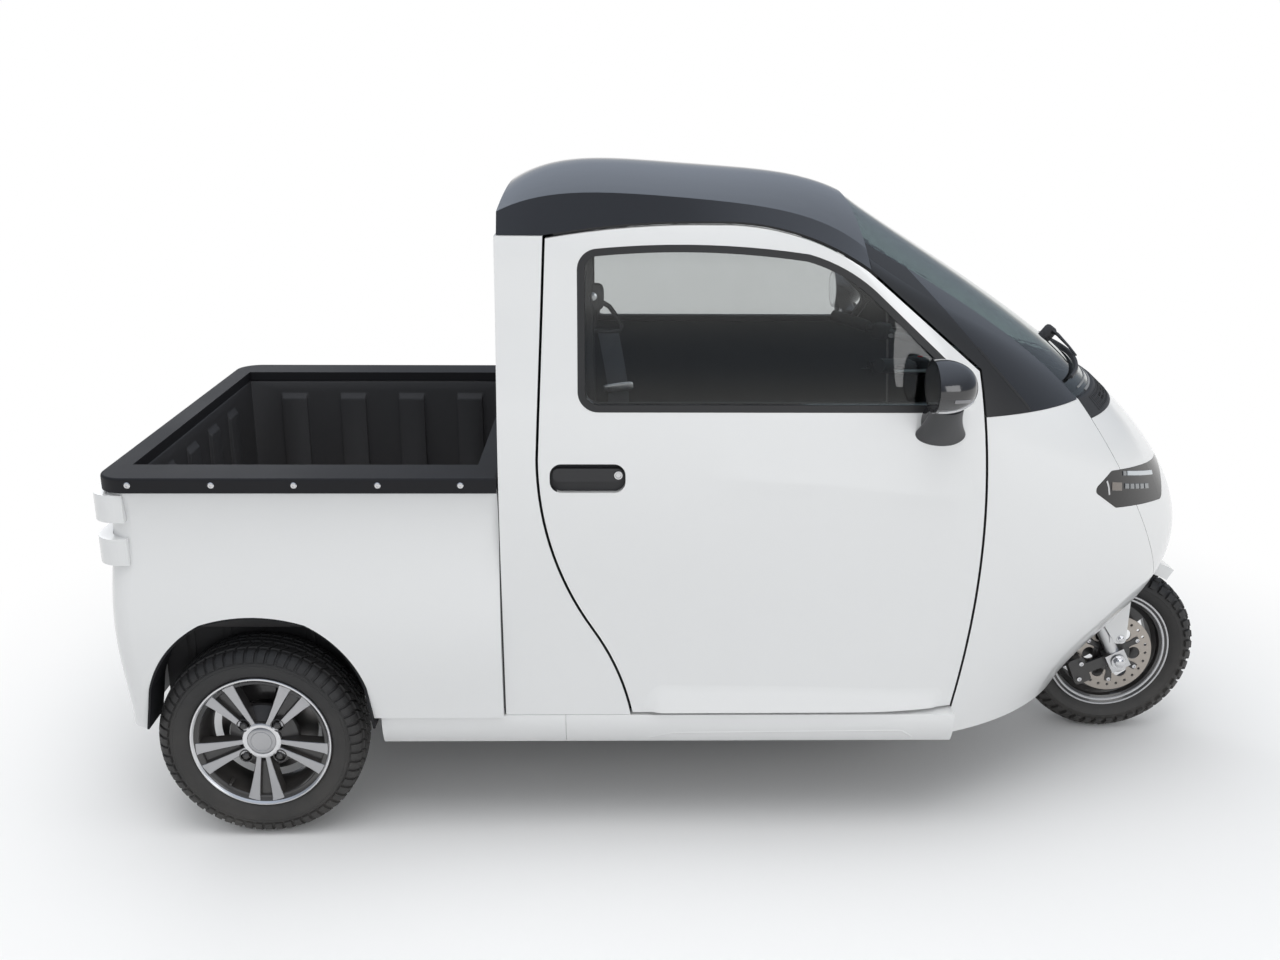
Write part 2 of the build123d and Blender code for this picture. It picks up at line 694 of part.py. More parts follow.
# Wheel arch liners
LINER_WALL = 5
LINER_IN = TUB_HALF + FIT
LINER_FOOT = 296
LINER_BACK = 4

with BuildPart() as arch_liners:
    with BuildSketch(Plane.XZ.offset(LINER_IN)):
        add(arch_outline(FIT))
        add(arch_outline(FIT + LINER_WALL), mode=Mode.SUBTRACT)
        with Locations((rear(ARCH_CENTRE), LINER_FOOT / 2)):
            Rectangle(3 * ARCH_HALF, LINER_FOOT, mode=Mode.SUBTRACT)
    extrude(amount=HALF - LINER_BACK - LINER_IN)
    mirror(about=Plane.XZ)
arch_liners.part.label = "arch_liners"
export_step(arch_liners.part, "parts/arch_liners.step")

# Tail lamp housings wrap the rear corners, each with its lens
LAMP_ROWS = ((808, 872), (706, 768))
LAMP_BACK = -LENGTH / 2
LENS = 6
LENS_WIDTH = 120
LENS_EDGE = 8
HOUSING_IN = HALF - 216
HOUSING_TUCK = 6
HOUSING_REACH = rear(87 - REAR_OVERHANG)
bed_room = bed_solid(-FIT)

with BuildPart() as tail_housings:
    for foot, top in LAMP_ROWS:
        with BuildSketch(Plane.XY.offset(foot)):
            with BuildLine():
                bed_outline(HOUSING_TUCK, LENS, 0)
            make_face()
            with Locations((HOUSING_REACH + LENGTH / 2, 0)):
                Rectangle(LENGTH, BODY_WIDTH, mode=Mode.SUBTRACT)
            Rectangle(LENGTH, 2 * HOUSING_IN, mode=Mode.SUBTRACT)
        extrude(amount=top - foot)
    add(bed_room, mode=Mode.SUBTRACT)
tail_housings.part.label = "tail_housings"
export_step(tail_housings.part, "parts/tail_housings.step")

with BuildPart() as tail_lenses:
    for foot, top in LAMP_ROWS:
        for side in (-1, 1):
            with BuildSketch(Plane.YZ.offset(LAMP_BACK)):
                with Locations((side * (HOUSING_IN + LENS_EDGE * 2 + LENS_WIDTH / 2), (foot + top) / 2)):
                    RectangleRounded(LENS_WIDTH, top - foot - 2 * LENS_EDGE, LENS_EDGE)
            extrude(amount=LENS - FIT)
tail_lenses.part.label = "tail_lenses"
export_step(tail_lenses.part, "parts/tail_lenses.step")

# Doors hang on two pins a side, whose brackets reach round the door's edge from the front side panels
HINGE_X = DOOR_FRONT_FOOT[0] - 26
HINGE_Y = HALF - 36
HINGE_PIN_R = 7
HINGE_KNUCKLE_R = 11
HINGE_HEIGHTS = (675, 925)
HINGE_KNUCKLE = 20
HINGE_PIN = 72
HINGE_ARM = 7
HINGE_REACH = 76
HINGE_BAR = 13
HINGE_ROOM = 13
BAR_Y = -HINGE_Y + HINGE_REACH - HINGE_BAR / 2
HINGE_SKIN = 3

# Recess for the pull handle
RECESS_X = front(1437)
RECESS_Z = 914
RECESS_LENGTH = 168
RECESS_HEIGHT = 66
RECESS_DEPTH = 22
RECESS_R = 26

with BuildPart() as door_right:
    add(skin_wall.part)
    with BuildSketch(Plane.XZ):
        with BuildLine():
            door_outline()
        make_face()
        offset(amount=-DOOR_GAP)
    extrude(amount=BODY_WIDTH, mode=Mode.INTERSECT)
    with BuildSketch(Plane.XZ):
        add(window_face(0))
    extrude(amount=BODY_WIDTH, mode=Mode.SUBTRACT)
    with BuildSketch(Plane.XZ.offset(HALF - RECESS_DEPTH)):
        with Locations((RECESS_X, RECESS_Z)):
            RectangleRounded(RECESS_LENGTH, RECESS_HEIGHT, RECESS_R)
    extrude(amount=WALL * 2, mode=Mode.SUBTRACT)
    for height in HINGE_HEIGHTS:
        with BuildSketch(Plane.XY.offset(height - HINGE_KNUCKLE / 2 - 2)):
            with Locations((HINGE_X + 15, -HINGE_Y - HINGE_SKIN + WALL)):
                Rectangle(90, 2 * WALL)
            with Locations((HINGE_X + 4, -HINGE_Y)):
                Rectangle(40, 2 * HINGE_ROOM)
        extrude(amount=HINGE_KNUCKLE + 4, mode=Mode.SUBTRACT)
        with BuildSketch(Plane.XY.offset(height - HINGE_PIN / 2 - FIT)):
            with Locations((HINGE_X, -HINGE_Y)):
                Circle(HINGE_PIN_R + RUNNING_CLEARANCE)
        extrude(amount=HINGE_PIN + 2 * FIT, mode=Mode.SUBTRACT)
door_right.part.label = "door_right"
export_step(door_right.part, "parts/door_right.step")

with BuildPart() as door_left:
    mirror(door_right.part, about=Plane.XZ)
door_left.part.label = "door_left"
export_step(door_left.part, "parts/door_left.step")

with BuildPart() as door_hinges:
    for height in HINGE_HEIGHTS:
        with BuildSketch(Plane.XY.offset(height - HINGE_KNUCKLE / 2)):
            with Locations((HINGE_X, -HINGE_Y)):
                Circle(HINGE_KNUCKLE_R)
            with Locations((HINGE_X, -HINGE_Y + HINGE_REACH / 2)):
                Rectangle(2 * HINGE_ARM, HINGE_REACH)
            with Locations((HINGE_X + HINGE_REACH / 2 - HINGE_ARM / 2, BAR_Y)):
                Rectangle(HINGE_REACH + HINGE_ARM, HINGE_BAR)
            with Locations((HINGE_X + HINGE_REACH - HINGE_BAR / 2, -HINGE_Y + HINGE_REACH / 2)):
                Rectangle(HINGE_BAR, HINGE_REACH)
        extrude(amount=HINGE_KNUCKLE)
        with BuildSketch(Plane.XY.offset(height - HINGE_PIN / 2)):
            with Locations((HINGE_X, -HINGE_Y)):
                Circle(HINGE_PIN_R)
        extrude(amount=HINGE_PIN)
    add(side_panel_right.part, mode=Mode.SUBTRACT)
    mirror(about=Plane.XZ)
door_hinges.part.label = "door_hinges"
export_step(door_hinges.part, "parts/door_hinges.step")

# Rubber seal and glass of each side window
with BuildPart() as window_seal_right:
    add(skin_wall.part)
    with BuildSketch(Plane.XZ):
        add(window_face(FIT))
        add(window_face(SEAL), mode=Mode.SUBTRACT)
    extrude(amount=BODY_WIDTH, mode=Mode.INTERSECT)
window_seal_right.part.label = "window_seal_right"
export_step(window_seal_right.part, "parts/window_seal_right.step")

with BuildPart() as window_seal_left:
    mirror(window_seal_right.part, about=Plane.XZ)
window_seal_left.part.label = "window_seal_left"
export_step(window_seal_left.part, "parts/window_seal_left.step")

with BuildPart() as door_glass_right:
    add(skin_pane.part)
    with BuildSketch(Plane.XZ):
        add(window_face(SEAL + FIT))
    extrude(amount=BODY_WIDTH, mode=Mode.INTERSECT)
door_glass_right.part.label = "door_glass_right"
export_step(door_glass_right.part, "parts/door_glass_right.step")

with BuildPart() as door_glass_left:
    mirror(door_glass_right.part, about=Plane.XZ)
door_glass_left.part.label = "door_glass_left"
export_step(door_glass_left.part, "parts/door_glass_left.step")

# Pull handles in the door recesses
with BuildPart() as handle_right:
    with BuildSketch(Plane.XZ.offset(HALF - RECESS_DEPTH)):
        with Locations((RECESS_X, RECESS_Z)):
            RectangleRounded(RECESS_LENGTH - 2 * FIT, RECESS_HEIGHT - 2 * FIT, RECESS_R - FIT)
    extrude(amount=6)
    with BuildSketch(Plane.XZ.offset(HALF - RECESS_DEPTH + 6)):
        with Locations((RECESS_X, RECESS_Z + 8)):
            RectangleRounded(RECESS_LENGTH - 14, 30, 12)
        with Locations((RECESS_X - 8, RECESS_Z + 8)):
            RectangleRounded(RECESS_LENGTH - 70, 16, 6, mode=Mode.SUBTRACT)
    extrude(amount=6)
    with BuildSketch(Plane.XZ.offset(HALF - RECESS_DEPTH + 12)):
        with Locations((RECESS_X, RECESS_Z + 8)):
            RectangleRounded(RECESS_LENGTH - 14, 30, 12)
    extrude(amount=9)
handle_right.part.label = "handle_right"
export_step(handle_right.part, "parts/handle_right.step")

with BuildPart() as handle_left:
    mirror(handle_right.part, about=Plane.XZ)
handle_left.part.label = "handle_left"
export_step(handle_left.part, "parts/handle_left.step")

# Door mirrors: a domed head on a flared foot, with the glass in its rear face
MIRROR_X = front(706)
MIRROR_Y = HALF + 76
MIRROR_Z = 1142
MIRROR_RINGS = (
    # place ahead of the rear face, half width, half height
    (0, 72, 56),
    (40, 70, 55),
    (70, 56, 43),
    (88, 30, 22),
)
MIRROR_FOOT = Vector(front(668), 40 - HALF, 1022)
MIRROR_FOOT_R = 46
MIRROR_NECK_R = 17
MIRROR_GLASS = 5
MIRROR_EDGE = 8
MIRROR_LEAN = Vector(0, -0.68, 0.73)
MIRROR_NECK = 117

with BuildPart() as mirror_right:
    for place, half_width, half_height in MIRROR_RINGS:
        with BuildSketch(Plane.YZ.offset(MIRROR_X + place)):
            with Locations((-MIRROR_Y, MIRROR_Z)):
                Ellipse(half_width, half_height)
    loft()
    with BuildSketch(Plane.YZ.offset(MIRROR_X)):
        with Locations((-MIRROR_Y, MIRROR_Z)):
            Ellipse(MIRROR_RINGS[0][1] - MIRROR_EDGE, MIRROR_RINGS[0][2] - MIRROR_EDGE)
    extrude(amount=MIRROR_GLASS + FIT, mode=Mode.SUBTRACT)
    with BuildSketch(Plane(MIRROR_FOOT, z_dir=MIRROR_LEAN)):
        Circle(MIRROR_FOOT_R)
    with BuildSketch(Plane(MIRROR_FOOT + MIRROR_LEAN * MIRROR_NECK, z_dir=MIRROR_LEAN)):
        Circle(MIRROR_NECK_R)
    loft()
    add(skin_outer, mode=Mode.SUBTRACT)
mirror_right.part.label = "mirror_right"
export_step(mirror_right.part, "parts/mirror_right.step")

with BuildPart() as mirror_left:
    mirror(mirror_right.part, about=Plane.XZ)
mirror_left.part.label = "mirror_left"
export_step(mirror_left.part, "parts/mirror_left.step")

with BuildPart() as mirror_glass_right:
    with BuildSketch(Plane.YZ.offset(MIRROR_X)):
        with Locations((-MIRROR_Y, MIRROR_Z)):
            Ellipse(MIRROR_RINGS[0][1] - MIRROR_EDGE - FIT, MIRROR_RINGS[0][2] - MIRROR_EDGE - FIT)
    extrude(amount=MIRROR_GLASS)
mirror_glass_right.part.label = "mirror_glass_right"
export_step(mirror_glass_right.part, "parts/mirror_glass_right.step")

with BuildPart() as mirror_glass_left:
    mirror(mirror_glass_right.part, about=Plane.XZ)
mirror_glass_left.part.label = "mirror_glass_left"
export_step(mirror_glass_left.part, "parts/mirror_glass_left.step")

# Cab floor, toe board and front bulkhead as one bent sheet
FLOOR_TOP = 282
FLOOR_SHEET = 16
FLOOR_REAR = CAB_BACK_X + WALL + FIT
TOE_X = front(560)
BULKHEAD_X = front(430)
BULKHEAD_KNEE = 470
BULKHEAD_TOP = 830

with BuildPart() as floor_pan:
    with BuildSketch(Plane.XZ):
        with BuildLine():
            Polyline((FLOOR_REAR, FLOOR_TOP), (FLOOR_REAR, FLOOR_TOP - FLOOR_SHEET),
                     (TOE_X + FLOOR_SHEET / 2, FLOOR_TOP - FLOOR_SHEET),
                     (BULKHEAD_X + FLOOR_SHEET, BULKHEAD_KNEE), (BULKHEAD_X + FLOOR_SHEET, BULKHEAD_TOP),
                     (BULKHEAD_X, BULKHEAD_TOP), (BULKHEAD_X, BULKHEAD_KNEE), (TOE_X, FLOOR_TOP),
                     close=True)
        make_face()
    extrude(amount=BODY_WIDTH, both=True)
    add(skin_lining, mode=Mode.INTERSECT)
floor_pan.part.label = "floor_pan"
export_step(floor_pan.part, "parts/floor_pan.step")

# Steering geometry: the axis leans back through the front axle
RAKE = 28
LEAN_X = -sin(radians(RAKE))
LEAN_Z = cos(radians(RAKE))
STEER_BORE_R = 17
CROWN_UNDER = 308
CROWN_DEPTH = 30
HEAD_FOOT = CROWN_UNDER + CROWN_DEPTH + FIT
HEAD_TOP = 560
HEAD_R = 28
STEM_TOP = 905


def up_axis(along):
    """The plane across the steering axis at a distance up it from the front axle."""
    return Plane((FRONT_AXLE_X + along * LEAN_X, 0, FRONT_TYRE_R + along * LEAN_Z),
                 x_dir=(0, -1, 0), z_dir=(LEAN_X, 0, LEAN_Z))


# Dashboard, notched round the steering column
DASH_FOOT = BULKHEAD_TOP + FIT
DASH_TOP = 968
DASH_REAR = BULKHEAD_X - 30
DASH_FRONT = BULKHEAD_X + 160
NOTCH_HALF = 60

with BuildPart() as dashboard:
    with BuildSketch(Plane.XZ):
        with BuildLine():
            Polyline((DASH_REAR, DASH_FOOT), (DASH_FRONT, DASH_FOOT), (DASH_FRONT + 30, DASH_TOP),
                     (DASH_REAR + 50, DASH_TOP), (DASH_REAR, DASH_TOP - 50), close=True)
        make_face()
    extrude(amount=BODY_WIDTH, both=True)
    add(skin_lining, mode=Mode.INTERSECT)
    with BuildSketch(up_axis(HEAD_TOP + 10)):
        Rectangle(2 * NOTCH_HALF, 4 * NOTCH_HALF)
    extrude(amount=STEM_TOP - HEAD_TOP, mode=Mode.SUBTRACT)
dashboard.part.label = "dashboard"
export_step(dashboard.part, "parts/dashboard.step")

# Battery box under the seat
SEAT_HALF = 235
BOX_REAR = front(1470)
BOX_LENGTH = 460
BOX_TOP = 470

with BuildPart() as battery_box:
    with BuildSketch(Plane.XY.offset(FLOOR_TOP + FIT)):
        with Locations((BOX_REAR + BOX_LENGTH / 2, 0)):
            Rectangle(BOX_LENGTH, 2 * SEAT_HALF)
    extrude(amount=BOX_TOP - FLOOR_TOP - FIT)
battery_box.part.label = "battery_box"
export_step(battery_box.part, "parts/battery_box.step")

# Seat cushion, back and head restraint
CUSHION = 90
BACK_REAR = front(1550)
BACK_THICK = 90
BACK_TOP = 1050
HEADREST_FOOT = 1120
HEADREST_TOP = 1262

with BuildPart() as seat_cushion:
    with BuildSketch(Plane.XY.offset(BOX_TOP + FIT)):
        with Locations((BOX_REAR + BOX_LENGTH / 2 + 10, 0)):
            RectangleRounded(BOX_LENGTH + 20, 2 * SEAT_HALF + 20, 40)
    extrude(amount=CUSHION)
    fillet(seat_cushion.faces().sort_by(Axis.Z)[-1].edges(), 28)
seat_cushion.part.label = "seat_cushion"
export_step(seat_cushion.part, "parts/seat_cushion.step")

with BuildPart() as seat_back:
    with BuildSketch(Plane.XZ):
        with BuildLine():
            Polyline((BACK_REAR + 60, BOX_TOP + CUSHION - 60), (BOX_REAR - FIT, BOX_TOP + CUSHION - 60),
                     (BOX_REAR - FIT, BOX_TOP + CUSHION), (BACK_REAR + BACK_THICK, BACK_TOP),
                     (BACK_REAR + 10, BACK_TOP), (BACK_REAR, BACK_TOP - 40), close=True)
        make_face()
    extrude(amount=SEAT_HALF, both=True)
seat_back.part.label = "seat_back"
export_step(seat_back.part, "parts/seat_back.step")

with BuildPart() as headrest:
    with BuildSketch(Plane.YZ.offset(BACK_REAR + 8)):
        with Locations((0, (HEADREST_FOOT + HEADREST_TOP) / 2)):
            RectangleRounded(260, HEADREST_TOP - HEADREST_FOOT, 40)
    extrude(amount=BACK_THICK - 10)
    with BuildSketch(Plane.XY.offset(BACK_TOP + FIT)):
        with Locations((BACK_REAR + 48, -60), (BACK_REAR + 48, 60)):
            Circle(6)
    extrude(amount=HEADREST_FOOT + 10 - BACK_TOP)
headrest.part.label = "headrest"
export_step(headrest.part, "parts/headrest.step")

# Chassis: two bent rails, cross members, the head tube and its gussets
RAIL_Y = HALF - 288
RAIL_WIDTH = 46
RAIL_DEPTH = 60
RAIL_REAR_Z = 396
RAIL_MID_Z = FLOOR_TOP - FLOOR_SHEET - FIT - RAIL_DEPTH / 2
MEMBER_WIDTH = 50
MEMBER_HALF = TUB_HALF - 76
BED_MEMBERS = (-210, 90, 370)
FLOOR_MEMBERS = (1320, 1070, 820)
RAIL_BEND = 185
RAIL_LEVEL = 20
BACKBONE = 40
HEAD_JOIN = up_axis(450).origin

with BuildPart() as chassis_frame:
    for side in (-1, 1):
        with BuildSketch(Plane.XZ.offset(side * RAIL_Y - RAIL_WIDTH / 2)):
            with BuildLine():
                Polyline((rear(55 - REAR_OVERHANG), RAIL_REAR_Z), (CAB_BACK_X - RAIL_BEND, RAIL_REAR_Z),
                         (CAB_BACK_X - RAIL_LEVEL, RAIL_MID_Z), (front(580), RAIL_MID_Z))
            trace(line_width=RAIL_DEPTH)
        extrude(amount=RAIL_WIDTH)
    for place in BED_MEMBERS:
        with BuildSketch(Plane.XY.offset(RAIL_REAR_Z)):
            with Locations((rear(place), 0)):
                Rectangle(MEMBER_WIDTH, 2 * MEMBER_HALF)
        extrude(amount=TUB_FLOOR - FIT - RAIL_REAR_Z)
    for place in FLOOR_MEMBERS:
        with BuildSketch(Plane.XY.offset(RAIL_MID_Z - RAIL_DEPTH / 2 + 10)):
            with Locations((front(place), 0)):
                Rectangle(MEMBER_WIDTH, 2 * RAIL_Y)
        extrude(amount=RAIL_DEPTH - 10)
    with BuildSketch(Plane.XY.offset(RAIL_MID_Z - RAIL_DEPTH / 2)):
        with Locations((front(600), 0)):
            Rectangle(60, 2 * RAIL_Y + RAIL_WIDTH)
    extrude(amount=RAIL_DEPTH)
    with BuildSketch(Plane.XZ.offset(-BACKBONE / 2)):
        with BuildLine():
            Polyline((front(625), RAIL_MID_Z), (front(560), RAIL_MID_Z),
                     (BULKHEAD_X + 26, BULKHEAD_KNEE - 10), (HEAD_JOIN.X, HEAD_JOIN.Z))
        trace(line_width=BACKBONE)
    extrude(amount=BACKBONE)
    with BuildSketch(up_axis(HEAD_FOOT)):
        Circle(HEAD_R)
    extrude(amount=HEAD_TOP - HEAD_FOOT)
    with BuildSketch(up_axis(HEAD_FOOT - 30)):
        Circle(STEER_BORE_R + RUNNING_CLEARANCE)
    extrude(amount=HEAD_TOP, mode=Mode.SUBTRACT)
    add(floor_pan.part, mode=Mode.SUBTRACT)
chassis_frame.part.label = "chassis_frame"
export_step(chassis_frame.part, "parts/chassis_frame.step")

# Rear axle with its drive housing, and the leaf springs that carry it
AXLE_TUBE_R = 34
AXLE_FLANGE = REAR_TRACK / 2 - REAR_TYRE_WIDTH / 2 - 24
SPINDLE_END = REAR_TRACK / 2 + 40
MOTOR_R = 105
MOTOR_LENGTH = 230
SPRING_WIDTH = 56
SPRING_DEPTH = 26
SPRING_HALF = 240
SPRING_SEAT = REAR_TYRE_R + AXLE_TUBE_R + FIT
SPRING_END = RAIL_REAR_Z - RAIL_DEPTH / 2 - 34
HANGER_TOP = RAIL_REAR_Z - RAIL_DEPTH / 2 - FIT

with BuildPart() as rear_axle:
    with BuildSketch(Plane.XZ):
        with Locations((REAR_AXLE_X, REAR_TYRE_R)):
            Circle(AXLE_TUBE_R)
    extrude(amount=AXLE_FLANGE, both=True)
    with BuildSketch(Plane.XZ):
        with Locations((REAR_AXLE_X, REAR_TYRE_R)):
            Circle(REAR_BORE_R)
    extrude(amount=SPINDLE_END, both=True)
    with BuildSketch(Plane.XZ.offset(-MOTOR_LENGTH / 2)):
        with Locations((REAR_AXLE_X, REAR_TYRE_R)):
            Circle(MOTOR_R)
    extrude(amount=MOTOR_LENGTH)
rear_axle.part.label = "rear_axle"
export_step(rear_axle.part, "parts/rear_axle.step")

with BuildPart() as leaf_springs:
    for side in (-1, 1):
        with BuildSketch(Plane.XZ.offset(side * RAIL_Y - SPRING_WIDTH / 2)):
            with BuildLine():
                ThreePointArc((rear(-SPRING_HALF), SPRING_END), (rear(0), SPRING_SEAT + SPRING_DEPTH / 2),
                              (rear(SPRING_HALF), SPRING_END))
            trace(line_width=SPRING_DEPTH)
            for end in (-1, 1):
                with Locations((rear(end * SPRING_HALF), SPRING_END)):
                    Circle(SPRING_DEPTH / 2 + 6)
                with Locations((rear(end * SPRING_HALF), (SPRING_END + HANGER_TOP) / 2)):
                    Rectangle(30, HANGER_TOP - SPRING_END)
        extrude(amount=SPRING_WIDTH)
leaf_springs.part.label = "leaf_springs"
export_step(leaf_springs.part, "parts/leaf_springs.step")

# Rear tyres and alloy wheels; a profile is radius against distance from the wheel's middle
BEAD_R = 152
WELL_R = 130
RIM_WALL = 6
RIM_HALF = 58
BEAD_HALF = 50
SPOKE_PAIRS = 5
SPOKE_FACE = 48
SPOKE_DEPTH = 24
SPOKE_SECTIONS = (
    # radius, middle of the spoke off the pair's middle, half width
    (30, 8.2, 5.8),
    (95, 19.0, 8.8),
    (143, 27.8, 13.6),
)
POCKET_FACE = 34
POCKET_DEPTH = 12
HUB_R = 74
HUB_FACE = 26
HUB_BACK = 30
BOSS_R = 46
CAP_R = 32
CAP = 3
REAR_HUB = Plane((REAR_AXLE_X, -REAR_TRACK / 2, REAR_TYRE_R))
REAR_HUB_AXIS = Axis((REAR_AXLE_X, -REAR_TRACK / 2, REAR_TYRE_R), (0, 1, 0))


def tyre_profile(rim_r, tyre_r, half_width, bead_half, shoulder):
    """Draw a tyre's section: bead, round side walls and a crowned tread."""
    seat = BEAD_R + FIT
    flank = (rim_r + 0.42 * (tyre_r - rim_r), half_width)
    edge = (tyre_r - shoulder, half_width - shoulder / 2)
    Line((seat, -bead_half), (seat, bead_half))
    Line((seat, bead_half), (rim_r + 3, bead_half))
    ThreePointArc((rim_r + 3, bead_half), flank, edge)
    ThreePointArc(edge, (tyre_r, 0), (edge[0], -edge[1]))
    ThreePointArc((edge[0], -edge[1]), (flank[0], -flank[1]), (rim_r + 3, -bead_half))
    Line((rim_r + 3, -bead_half), (seat, -bead_half))


def rim_profile(rim_r, rim_half, bead_half):
    """Draw a rim's section: a lip each side, two bead seats and the well between them."""
    seat = BEAD_R - 2
    well = WELL_R + RIM_WALL
    inside = BEAD_R - RIM_WALL
    lip = rim_r - RIM_WALL
    Polyline((rim_r, -rim_half), (rim_r, -bead_half - 2), (BEAD_R, -bead_half), (seat, -bead_half + 18),
             (well, -bead_half + 28), (well, bead_half - 28), (seat, bead_half - 18), (BEAD_R, bead_half),
             (rim_r, bead_half + 2), (rim_r, rim_half), (lip, rim_half), (inside, bead_half - 2),
             (inside - 2, bead_half - 16), (WELL_R, bead_half - 25), (WELL_R, -bead_half + 25),
             (inside - 2, -bead_half + 16), (inside, -bead_half + 2), (lip, -rim_half), close=True)


with BuildPart() as rear_tyre_right:
    with BuildSketch(REAR_HUB):
        with BuildLine():
            tyre_profile(REAR_RIM_R, REAR_TYRE_R, REAR_TYRE_WIDTH / 2, BEAD_HALF, 20)
        make_face()
    revolve(axis=REAR_HUB_AXIS)
rear_tyre_right.part.label = "rear_tyre_right"
export_step(rear_tyre_right.part, "parts/rear_tyre_right.step")

with BuildPart() as rear_tyre_left:
    mirror(rear_tyre_right.part, about=Plane.XZ)
rear_tyre_left.part.label = "rear_tyre_left"
export_step(rear_tyre_left.part, "parts/rear_tyre_left.step")

with BuildPart() as rear_rim_right:
    with BuildSketch(REAR_HUB):
        with BuildLine():
            rim_profile(REAR_RIM_R, RIM_HALF, BEAD_HALF)
        make_face()
    revolve(axis=REAR_HUB_AXIS)
    with BuildSketch(Plane.XZ.offset(REAR_TRACK / 2 + SPOKE_FACE - SPOKE_DEPTH)):
        with Locations((REAR_AXLE_X, REAR_TYRE_R)):
            with PolarLocations(0, SPOKE_PAIRS, 270):
                for hand in (-1, 1):
                    near = [(r, hand * (off - half)) for r, off, half in SPOKE_SECTIONS]
                    far = [(r, hand * (off + half)) for r, off, half in reversed(SPOKE_SECTIONS)]
                    Polygon(*near, *far, align=None)
            Circle(BOSS_R)
    extrude(amount=SPOKE_DEPTH)
    with BuildSketch(Plane.XZ.offset(REAR_TRACK / 2 + POCKET_FACE - POCKET_DEPTH)):
        with Locations((REAR_AXLE_X, REAR_TYRE_R)):
            with PolarLocations(0, SPOKE_PAIRS, 270):
                near = [(r, -off) for r, off, half in SPOKE_SECTIONS]
                far = [(r, off) for r, off, half in reversed(SPOKE_SECTIONS)]
                Polygon(*near, *far, align=None)
    extrude(amount=POCKET_DEPTH)
    with BuildSketch(Plane.XZ.offset(REAR_TRACK / 2 - HUB_BACK)):
        with Locations((REAR_AXLE_X, REAR_TYRE_R)):
            Circle(HUB_R)
    extrude(amount=HUB_BACK + HUB_FACE)
    with BuildSketch(Plane.XZ):
        with Locations((REAR_AXLE_X, REAR_TYRE_R)):
            Circle(REAR_BORE_R + RUNNING_CLEARANCE)
    extrude(amount=SPINDLE_END + 2, mode=Mode.SUBTRACT)
    with BuildSketch(Plane.XZ.offset(REAR_TRACK / 2 + SPOKE_FACE - CAP)):
        with Locations((REAR_AXLE_X, REAR_TYRE_R)):
            Circle(CAP_R)
    extrude(amount=2 * CAP)
rear_rim_right.part.label = "rear_rim_right"
export_step(rear_rim_right.part, "parts/rear_rim_right.step")

with BuildPart() as rear_rim_left:
    mirror(rear_rim_right.part, about=Plane.XZ)
rear_rim_left.part.label = "rear_rim_left"
export_step(rear_rim_left.part, "parts/rear_rim_left.step")

# Rear brakes: a disc behind each wheel's hub, and a caliper on a bracket from the axle tube
REAR_DISC_R = 117
REAR_DISC = 9
REAR_DISC_IN = HUB_BACK + FIT
DISC_ROOM = 5
CALIPER_INNER = 80
CALIPER_OUTER = 122
CALIPER_ARC = 24
CALIPER_AT = 100
CALIPER_REACH = 14
BRACKET = 8

with BuildPart() as rear_disc_right:
    with BuildSketch(Plane.XZ.offset(REAR_TRACK / 2 - REAR_DISC_IN - REAR_DISC)):
        with Locations((REAR_AXLE_X, REAR_TYRE_R)):
            Circle(REAR_DISC_R)
            Circle(REAR_BORE_R + 2, mode=Mode.SUBTRACT)
    extrude(amount=REAR_DISC)
rear_disc_right.part.label = "rear_disc_right"
export_step(rear_disc_right.part, "parts/rear_disc_right.step")

with BuildPart() as rear_disc_left:
    mirror(rear_disc_right.part, about=Plane.XZ)
rear_disc_left.part.label = "rear_disc_left"
export_step(rear_disc_left.part, "parts/rear_disc_left.step")

with BuildSketch() as caliper_face:
    with BuildLine():
        CenterArc((0, 0), CALIPER_OUTER, -CALIPER_ARC, 2 * CALIPER_ARC)
        CenterArc((0, 0), CALIPER_INNER, -CALIPER_ARC, 2 * CALIPER_ARC)
        for end in (-CALIPER_ARC, CALIPER_ARC):
            inner_end = (CALIPER_INNER * cos(radians(end)), CALIPER_INNER * sin(radians(end)))
            PolarLine(inner_end, CALIPER_OUTER - CALIPER_INNER, end)
    make_face()

with BuildSketch() as bracket_face:
    with Locations((CALIPER_INNER / 2 + 10, 0)):
        Rectangle(CALIPER_INNER + 20, 2 * AXLE_TUBE_R)
    Circle(AXLE_TUBE_R)
    Circle(REAR_BORE_R + FIT, mode=Mode.SUBTRACT)

with BuildPart() as rear_calipers:
    with BuildSketch(Plane.XZ.offset(AXLE_FLANGE)):
        with Locations(Location((REAR_AXLE_X, REAR_TYRE_R), CALIPER_AT)):
            add(caliper_face.sketch)
    extrude(amount=REAR_TRACK / 2 - CALIPER_REACH - AXLE_FLANGE)
    with BuildSketch(Plane.XZ.offset(REAR_TRACK / 2 - REAR_DISC_IN - REAR_DISC - DISC_ROOM)):
        with Locations((REAR_AXLE_X, REAR_TYRE_R)):
            Circle(REAR_DISC_R + DISC_ROOM / 2)
    extrude(amount=REAR_DISC + 2 * DISC_ROOM, mode=Mode.SUBTRACT)
    with BuildSketch(Plane.XZ.offset(AXLE_FLANGE)):
        with Locations(Location((REAR_AXLE_X, REAR_TYRE_R), CALIPER_AT)):
            add(bracket_face.sketch)
    extrude(amount=BRACKET)
    add(rear_axle.part, mode=Mode.SUBTRACT)
    mirror(about=Plane.XZ)
rear_calipers.part.label = "rear_calipers"
export_step(rear_calipers.part, "parts/rear_calipers.step")

